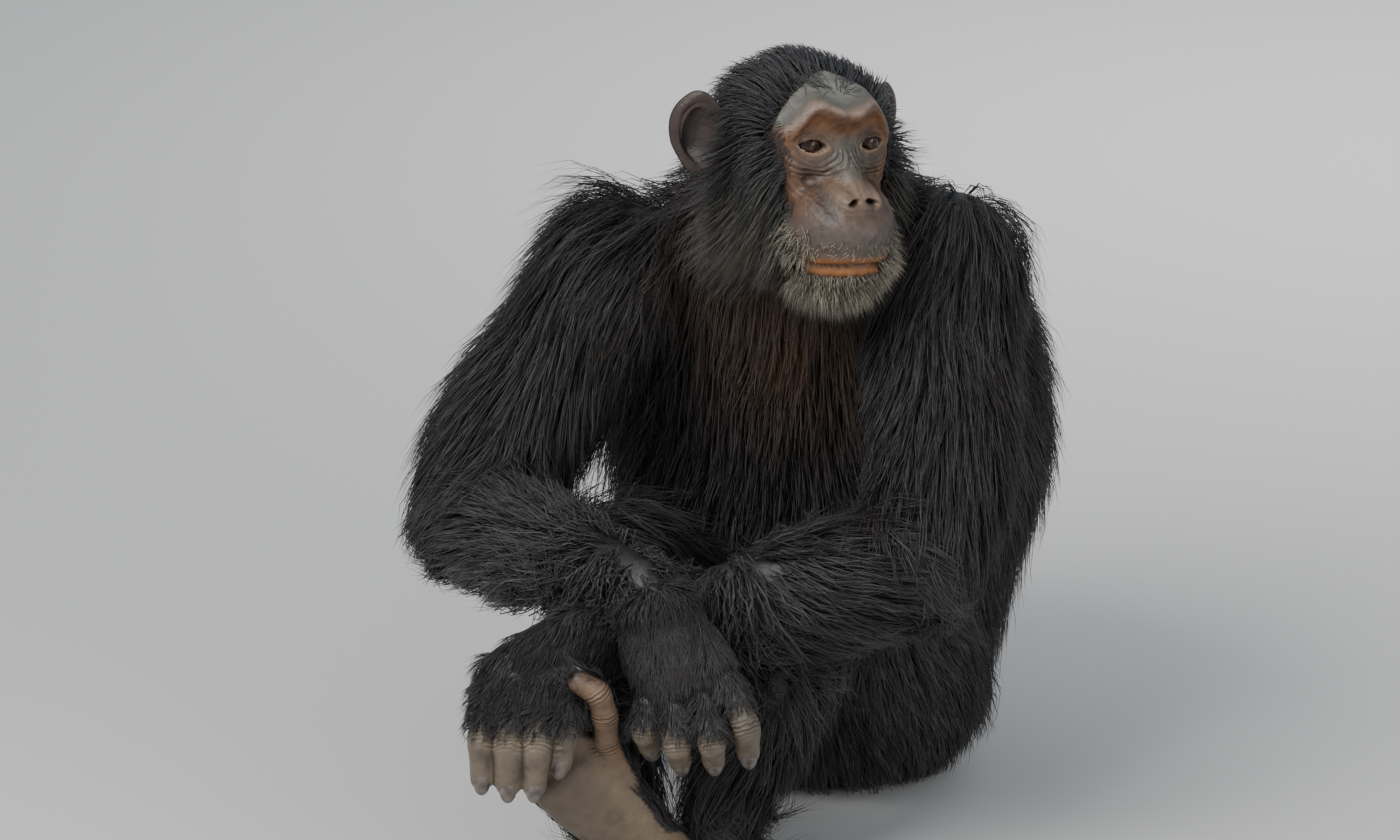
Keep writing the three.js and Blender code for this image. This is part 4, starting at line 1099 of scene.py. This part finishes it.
def body_fields(points):
    """At points on the trunk and limbs: the lie, the length and stand of the coat, the part."""
    gaps, lies, turns, places = [], [], [], []
    for name, limb in limbs.items():
        ks = np.arange(0, LIMB_STEPS + 1, 5)
        k = ks[np.linalg.norm(points[:, None] - limb.centre[ks][None], axis=2).argmin(1)]
        off = points - limb.centre[k]
        past = (off * limb.along[k]).sum(1)
        wide = (off * limb.wide[k]).sum(1) / limb.size[k, 0]
        deep = (off * limb.deep[k]).sum(1) / limb.size[k, 1]
        cap = np.where(past < 0, limb.caps[0], limb.caps[1])
        beyond = np.where((k == 0) | (k == LIMB_STEPS), past / cap, 0)
        gaps.append((np.sqrt(wide ** 2 + deep ** 2 + beyond ** 2) - 1) * limb.size[k].mean(1))
        lies.append(limb.along[k] * COATS[part_kind(name)]["lie"])
        turns.append(np.arctan2(deep, wide) / (2 * math.pi) % 1)
        places.append(np.clip((k / LIMB_STEPS * limb.length + past) / (limb.length + 130) + 0.16, 0, 1))
    gaps = np.array(gaps)
    share = np.exp(-(gaps - gaps.min(0)) / COAT_BLEND)
    share /= share.sum(0)
    lie = (share[:, :, None] * np.array(lies)).sum(0)
    owner = gaps.argmin(0)
    kinds = [COATS[part_kind(name)] for name in limbs]
    length = share.T @ [kind["length"] for kind in kinds]
    stand = share.T @ [kind["stand"] for kind in kinds]
    rows = np.arange(len(points))
    return lie, length, stand, owner, np.array(turns)[owner, rows], np.array(places)[owner, rows]


def surface_draw(shape, count, draw):
    """Random places on a surface, as thick on one bit of it as on another, with their outward."""
    points, normals, corners = shape
    a, b, c = (points[corners[:, i]] for i in range(3))
    area = np.linalg.norm(np.cross(b - a, c - a), axis=1)
    pick = draw.choice(len(corners), count, p=area / area.sum())
    share = draw.dirichlet((1, 1, 1), count)[:, :, None]
    return (points[corners[pick]] * share).sum(1), unit((normals[corners[pick]] * share).sum(1))


def combed(tree, roots, out, lie, length, stand, sunk, hug):
    """Lines of hair from roots, that follow a surface loosely and rise towards their tips."""
    lines = np.empty((len(roots), 4, 3))
    lines[:, 0] = roots - out * sunk
    for i in range(len(roots)):
        spot, ahead, normal = roots[i], lie[i], out[i]
        for k in range(1, 4):
            ahead = ahead - normal * (ahead @ normal)
            ahead = ahead / max(np.linalg.norm(ahead), 1e-6)
            straight = spot + ahead * (length[i] * (TUFT_SHARES[k] - TUFT_SHARES[k - 1]))
            near, facing, _, _ = tree.find_nearest((straight * MM).tolist())
            normal = mixed(normal, facing, hug)
            normal = normal / max(np.linalg.norm(normal), 1e-6)
            spot = mixed(straight, np.array(near) / MM, hug)
            lines[i, k] = spot + normal * stand[i] * TUFT_SHARES[k] ** 0.75
    return lines


def guided(roots, out, guide_roots, guide_out, guide_lines, draw, gather, stray):
    """Lines for all roots, from the guides: each lies like the nearest one and draws to its tip."""
    finder = kdtree.KDTree(len(guide_roots))
    for i, spot in enumerate(guide_roots + guide_out * SIDE_APART):
        finder.insert(spot, i)
    finder.balance()
    nearest = np.array([finder.find(spot)[1] for spot in roots + out * SIDE_APART])
    own_length = draw.uniform(0.62, 1.12, len(roots))[:, None]
    own_stand = draw.uniform(0.35, 1.08, len(roots))
    pull = gather * draw.uniform(0.5, 1.15, len(roots))[:, None]
    start, guide = guide_roots[nearest], guide_lines[nearest]
    lines = np.empty((len(roots), 4, 3))
    for k, share in enumerate(TUFT_SHARES):
        way = (guide[:, k] - start) * own_length
        way -= out * ((way * out).sum(1) * (1 - own_stand) * (share > 0))[:, None]
        own = roots + way + draw.normal(0, 1, (len(roots), 3)) * stray * share
        lines[:, k] = own + (start + way - own) * pull * share ** 1.3
    lines[:, 0] = roots + (guide[:, 0] - start)
    return lines


def drift(points, size, seed):
    """Soft seeded noise in all three directions."""
    return np.stack([waves(points, size, seed + k) for k in range(3)], -1)


draw = np.random.default_rng(401)
tree = bvhtree.BVHTree.FromPolygons((shapes["body"][0] * MM).tolist(), shapes["body"][2].tolist())


def coat_roots(count, by_thickness):
    """Roots on the trunk and limbs, clear of the head and the ground."""
    roots, out = surface_draw(shapes["body"], count, draw)
    fields = body_fields(roots)
    own = to_head_axes(roots) - STAR
    keep = (away(own, 0) > head_reach(unit(own)) - 14) & (roots[:, 2] > 3)
    if by_thickness:
        thick = np.array([COATS[part_kind(name)]["thick"] for name in limbs])[fields[3]]
        keep &= draw.uniform(0, 1.2, count) < thick
    return roots[keep], out[keep], [field[keep] for field in fields]


# Guides are combed over the skin first, and every other tuft lies like its nearest guide. At the
# wrists the hair turns towards the hand, is shorter, and is ruffled where it parts.
guide_roots, guide_out, (lie, length, stand, _, _, _) = coat_roots(int(BODY_TUFTS * GUIDE_SHARE), False)
shorter = 1 - 0.5 * rise(110 - nearest_of(guide_roots, WRIST.values()), 0, 90)
for side in ("right", "left"):
    near = rise(112 - away(guide_roots, WRIST[side]), 0, 72)[:, None]
    swirl = unit(np.cross(np.array(WRIST[side], float) - ELBOW[side], guide_out))
    lie = (mixed(lie, unit(np.array(HANDS[side]["palm"][2][0]) - guide_roots), near)
           + swirl * near * (1 - near) * 3.2)
lie = lie + (0, 0, -0.35) + 0.22 * drift(guide_roots, 110, 60) + 0.12 * drift(guide_roots, 38, 70)
lie = lie + draw.normal(0, 0.07, guide_roots.shape)
length = length * draw.uniform(0.8, 1.15, len(length)) * shorter
stand = stand * draw.uniform(0.68, 1.08, len(stand)) * shorter
for spot, reach, more_stand, more_length, limp in FULLER:
    near = bump(away(guide_roots, spot), 0, reach)
    stand, length = stand * (1 + more_stand * near), length * (1 + more_length * near)
    lie = lie + np.array((0, 0, -1.0)) * (limp * near)[:, None]
guide_lines = combed(tree, guide_roots, guide_out, lie, length, stand, sunk=3, hug=0.72)
roots, out, (_, _, _, owner, turn, place) = coat_roots(BODY_TUFTS, True)
parting = np.max([bump(away(roots, joint), 78, 38) for joint in WRIST.values()], axis=0)
stray = (2.8 + 6.5 * parting)[:, None]
lines = guided(roots, out, guide_roots, guide_out, guide_lines, draw, gather=0.36, stray=stray)
for number, name in enumerate(limbs):
    own = owner == number
    regions = {name: own}
    if name == "torso":
        front, upper = out @ np.array(CHEST_FACES) > 0.35, roots[:, 2] > BACK_PARTED_AT
        regions = {"chest": own & front, "back_upper": own & ~front & upper,
                   "back_lower": own & ~front & ~upper}
    for region, mine in regions.items():
        tones = chest_tones if region in ("chest", "neck") else COATS[part_kind(name)]["tones"]
        tone_root, tone_tip = tones(roots[mine], draw)
        width = draw.uniform(0.8, 1.6, mine.sum()) * (1 + 0.5 * parting[mine])
        tuft_mesh("coat_" + region, lines[mine], out[mine], width, tone_root, tone_tip,
                  atlas_spot(name, turn[mine], place[mine]))

# The backs of the hands and feet carry short black hair, as far as the knuckles.
# It lies towards the fingers and toes, and thins out before the bare skin begins.
BACKS = {
    "hand_right": dict(count=5200, lie=(0.10, -0.05, -1.0), length=24),
    "hand_left": dict(count=5600, lie=(-0.35, -0.35, -0.85), length=24),
    "foot_right": dict(count=1800, lie=(-0.5, -0.2, 0.5), length=26),
    "foot_left": dict(count=3000, lie=(0.25, -0.95, -0.2), length=30),
}
for number, (name, plan) in enumerate(BACKS.items()):
    draw = np.random.default_rng(501 + number)
    roots, out = surface_draw(shapes[name], plan["count"] * 3, draw)
    thick = hairiness(name, roots, out)
    keep = np.flatnonzero(draw.uniform(0, 1, len(roots)) < thick)[:plan["count"]]
    roots, out, thick = roots[keep], out[keep], thick[keep]
    lie = np.array(plan["lie"]) + 0.22 * drift(roots, 30, 80) + draw.normal(0, 0.12, roots.shape)
    lie = unit(lie - out * (lie * out).sum(1)[:, None])
    length = plan["length"] * (0.40 + 0.60 * thick) * draw.uniform(0.6, 1.2, len(roots))
    lines = np.empty((len(roots), 4, 3))
    for k, share in enumerate(TUFT_SHARES):
        height = 5.5 * share ** 0.8 - 4.5 * share ** 2.2 - 1.2 * (share == 0)
        lifted = out * (height * draw.uniform(0.8, 1.3, len(roots)))[:, None]
        lines[:, k] = roots + lie * (length * share)[:, None] + lifted
    tone_root, tone_tip = dark_tones(0.15, 0.10)(roots, draw)
    spots = np.clip((roots - roots.min(0)) / np.ptp(roots, axis=0), 0, 1)
    tuft_mesh("coat_" + name, lines, out, draw.uniform(0.7, 1.2, len(roots)), tone_root, tone_tip,
              atlas_spot(name, spots[:, 0], spots[:, 2]))

# The coat of the head lies back over the crown and down at the sides, stands out as a ruff on the
# cheeks, and is a short white-grey beard on the chin. The brow, nose and cheeks carry only a few
# short hairs.
WHITE_HAIR = (0.50, 0.44, 0.33)
OLIVE_SHEEN_HAIR = (0.085, 0.075, 0.050)


def head_coat(name, count, region, tones, seed, sunk, thickness, frizz, towards=(0, 0, 0)):
    """Tufts on the head. region gives how thickly they grow, their lie, and how far they hang."""
    draw = np.random.default_rng(seed)
    d = unit(draw.normal(size=(count * 6, 3)) + np.array(towards))
    base = head_point(d, np.zeros(len(d)))
    thick, *fields = region(base)
    keep = np.flatnonzero(draw.uniform(0, 1, len(d)) < thick)[:count]
    d, base, lie, free, length, lift = (field[keep] for field in (d, base, *fields))
    count = len(d)
    lie = unit(lie + draw.normal(0, frizz, (count, 3)) + 0.18 * drift(base, 34, seed))
    along = unit(lie - (lie * d).sum(1, keepdims=True) * d)
    length = length * draw.uniform(0.5, 1.25, count)
    lift = lift * draw.uniform(0.5, 1.3, count)
    root = head_point(d, np.full(count, -float(sunk)))
    lines = np.empty((count, 4, 3))
    for k, share in enumerate(TUFT_SHARES):
        angle = (share * length / away(base, STAR))[:, None]
        height = -sunk * (1 - share) ** 2 + lift * share ** 0.8
        lain = head_point(d * np.cos(angle) + along * np.sin(angle), height)
        hung = root + (sunk + height)[:, None] * d + lie * (share * length)[:, None]
        lines[:, k] = mixed(lain, hung, (free * share)[:, None])
    width = thickness * draw.uniform(0.7, 1.3, count)
    tone_root, tone_tip = tones(base, draw)
    azimuth, level = np.arctan2(d[:, 0], d[:, 1]), np.arcsin(d[:, 2])
    spots = atlas_spot("head", (azimuth / (2 * math.pi)) % 1, level / math.pi + 0.5)
    tuft_mesh("coat_" + name, in_head(lines), d @ HEAD_AXES, width, tone_root, tone_tip, spots)


def directions(*parts):
    """Directions in the head's axes from their three parts, each a row or one number for all."""
    return np.stack(np.broadcast_arrays(*parts), -1)


def scalp(p):
    """The coat from the hairline to the nape, with the ruff on the cheeks."""
    x, y, z = face_place(p)
    side, on_left = np.sign(p[:, 0]), p[:, 0] > 0
    ruff = rise(x, 36, 54) * rise(-z, 5, 40)
    nape = rise(-y, 40, 70)
    crown = rise(z, 0, 40)
    by_ear = bump(y, -20, 15) * bump(z, -8, 32) * rise(x, 46, 58)
    lie = (crown[:, None] * directions(p[:, 0] * 0.006, -1, -0.25)
           + (1 - crown)[:, None] * directions(side * 0.15, -0.55, -0.8)
           + ruff[:, None] * 2 * directions(side * 0.30, 0, -0.95)
           + nape[:, None] * np.array((0, -0.3, -1))
           + by_ear[:, None] * 3.0 * directions(side, 0.15, -0.15))
    thick = (1 - bare_face(p)) * np.where((z < -100) & (y > 20), 0.15, 1)
    temple = rise(x, 34, 58) * bump(z, 5, 45) * rise(y, -45, -10)
    crest = bump(z, 32, 26) * rise(-p[:, 0], 18, 46) * rise(-y, -25, 15)
    length = 32 + 22 * rise(-y, -20, 40) + 34 * ruff + 20 * nape - 16 * crown * rise(y, -10, 20)
    lift = (7 + 4 * nape + 7 * ruff + 4 * rise(-y, 0, 60) + (4 + 16 * on_left) * temple
            + 8 * ruff * on_left)
    free = np.clip(0.15 + 0.55 * ruff + 0.15 * nape + 0.5 * by_ear, 0, 0.85)
    return thick, lie, free, length + 24 * by_ear, lift + 9 * crest + 13 * by_ear


def scalp_tones(p, draw):
    """Black, with olive strands low on the ruff, brightened at random as a painted greenish sheen."""
    root, tip = dark_tones(0.12, 0.10)(p, draw)
    low = rise(np.abs(p[:, 0]), 36, 54) * rise(-p[:, 2], 0, 60)
    # The olive strands are a painted greenish sheen, brightened at random.
    share = (low * (draw.uniform(0, 1, len(p)) < 0.30 + 0.35 * low))[:, None]
    bright = draw.uniform(1.0, 2.4, len(p))[:, None]
    return mixed(root, np.array(OLIVE_SHEEN_HAIR) * 0.6, share), mixed(tip, np.array(OLIVE_SHEEN_HAIR) * bright, share)


def beard(p):
    """Short hair on the chin and jowls, longer below."""
    x, y, z = face_place(p)
    mouth = mouth_line(x)
    chin = rise(mouth - 8.5 - z, 0, 3) * rise(y, 10, 40)
    jowl = rise(x, 36, 46) * rise(y, 20, 45) * bump(z, -94, 22)
    below = rise(mouth - 14 - z, 0, 16)
    far = rise(p[:, 0], 12, 34) * rise(-86 - z, 0, 10)
    lie = directions(np.sign(p[:, 0]) * (0.22 + 0.9 * jowl + 0.7 * far),
                     0.55 - 0.5 * jowl - 0.3 * below, -1 + 0.3 * jowl)
    thick = np.clip(chin + 0.7 * jowl + far, 0, 1)
    length = 10 + 20 * below + 8 * jowl + 7 * far
    lift = 3 + 5 * below + 4 * jowl + 9 * far
    return thick, lie, 0.75 + 0 * x, length, lift


def beard_tones(p, draw):
    tip = np.array(WHITE_HAIR) * draw.uniform(0.35, 1.0, len(p))[:, None]
    dark = (draw.uniform(0, 1, len(p)) < 0.25)[:, None]
    # The roots are painted darker than the tips, as shade deep in the beard.
    return np.where(dark, 0.02, tip * 0.55), np.where(dark, 0.035, tip)


def short_hairs(p):
    """Thin hair where the bare face begins, and a few pale hairs round the mouth."""
    x, y, z = face_place(p)
    nose = (x < 30) & (z < -18) & (z > -62) & (y > 60)
    lips = (np.abs(z - mouth_line(x)) <= 9) & (y >= 70)
    clear = (lid_gap(*eye_plan(p)) > 5) & ~nose & ~lips
    edge = rise(x, 42, 56) + 1.6 * rise(z, brow_line(x) + 6, brow_line(x) + 16)
    thick = bare_face(p) * clear * np.clip(0.9 * edge + 0.20 * rise(-z, 68, 84), 0, 1) * (y > -14)
    lie = directions(np.sign(p[:, 0]) * 0.45, -0.45, np.where(z > 20, 0.3, -0.8))
    edge = np.clip(edge, 0, 1)
    return thick, lie, 0 * x, 6 + 10 * edge, 1.2 + 1.5 * edge


def short_tones(p, draw):
    pale = rise(-p[:, 2], 50, 80)[:, None]
    dark, white = np.tile(COAT_BLACK, (len(p), 1)) * 2, np.array(WHITE_HAIR)
    # The roots are painted darker than the tips, as shade.
    return mixed(dark, white * 0.5, pale), mixed(dark * 1.5, white * 0.8, pale)


head_coat("head", 14200, scalp, scalp_tones, seed=201, sunk=HAIR_BASE + 2, thickness=1.35, frizz=0.12)
head_coat("beard", 5200, beard, beard_tones, seed=202, sunk=2, thickness=0.7, frizz=0.42,
          towards=(0, 1.5, -1.7))
head_coat("face", 3400, short_hairs, short_tones, seed=203, sunk=1, thickness=0.6, frizz=0.2,
          towards=(0, 1.2, 0))

# The scene is brought up to date at the end.
bpy.context.view_layer.update()
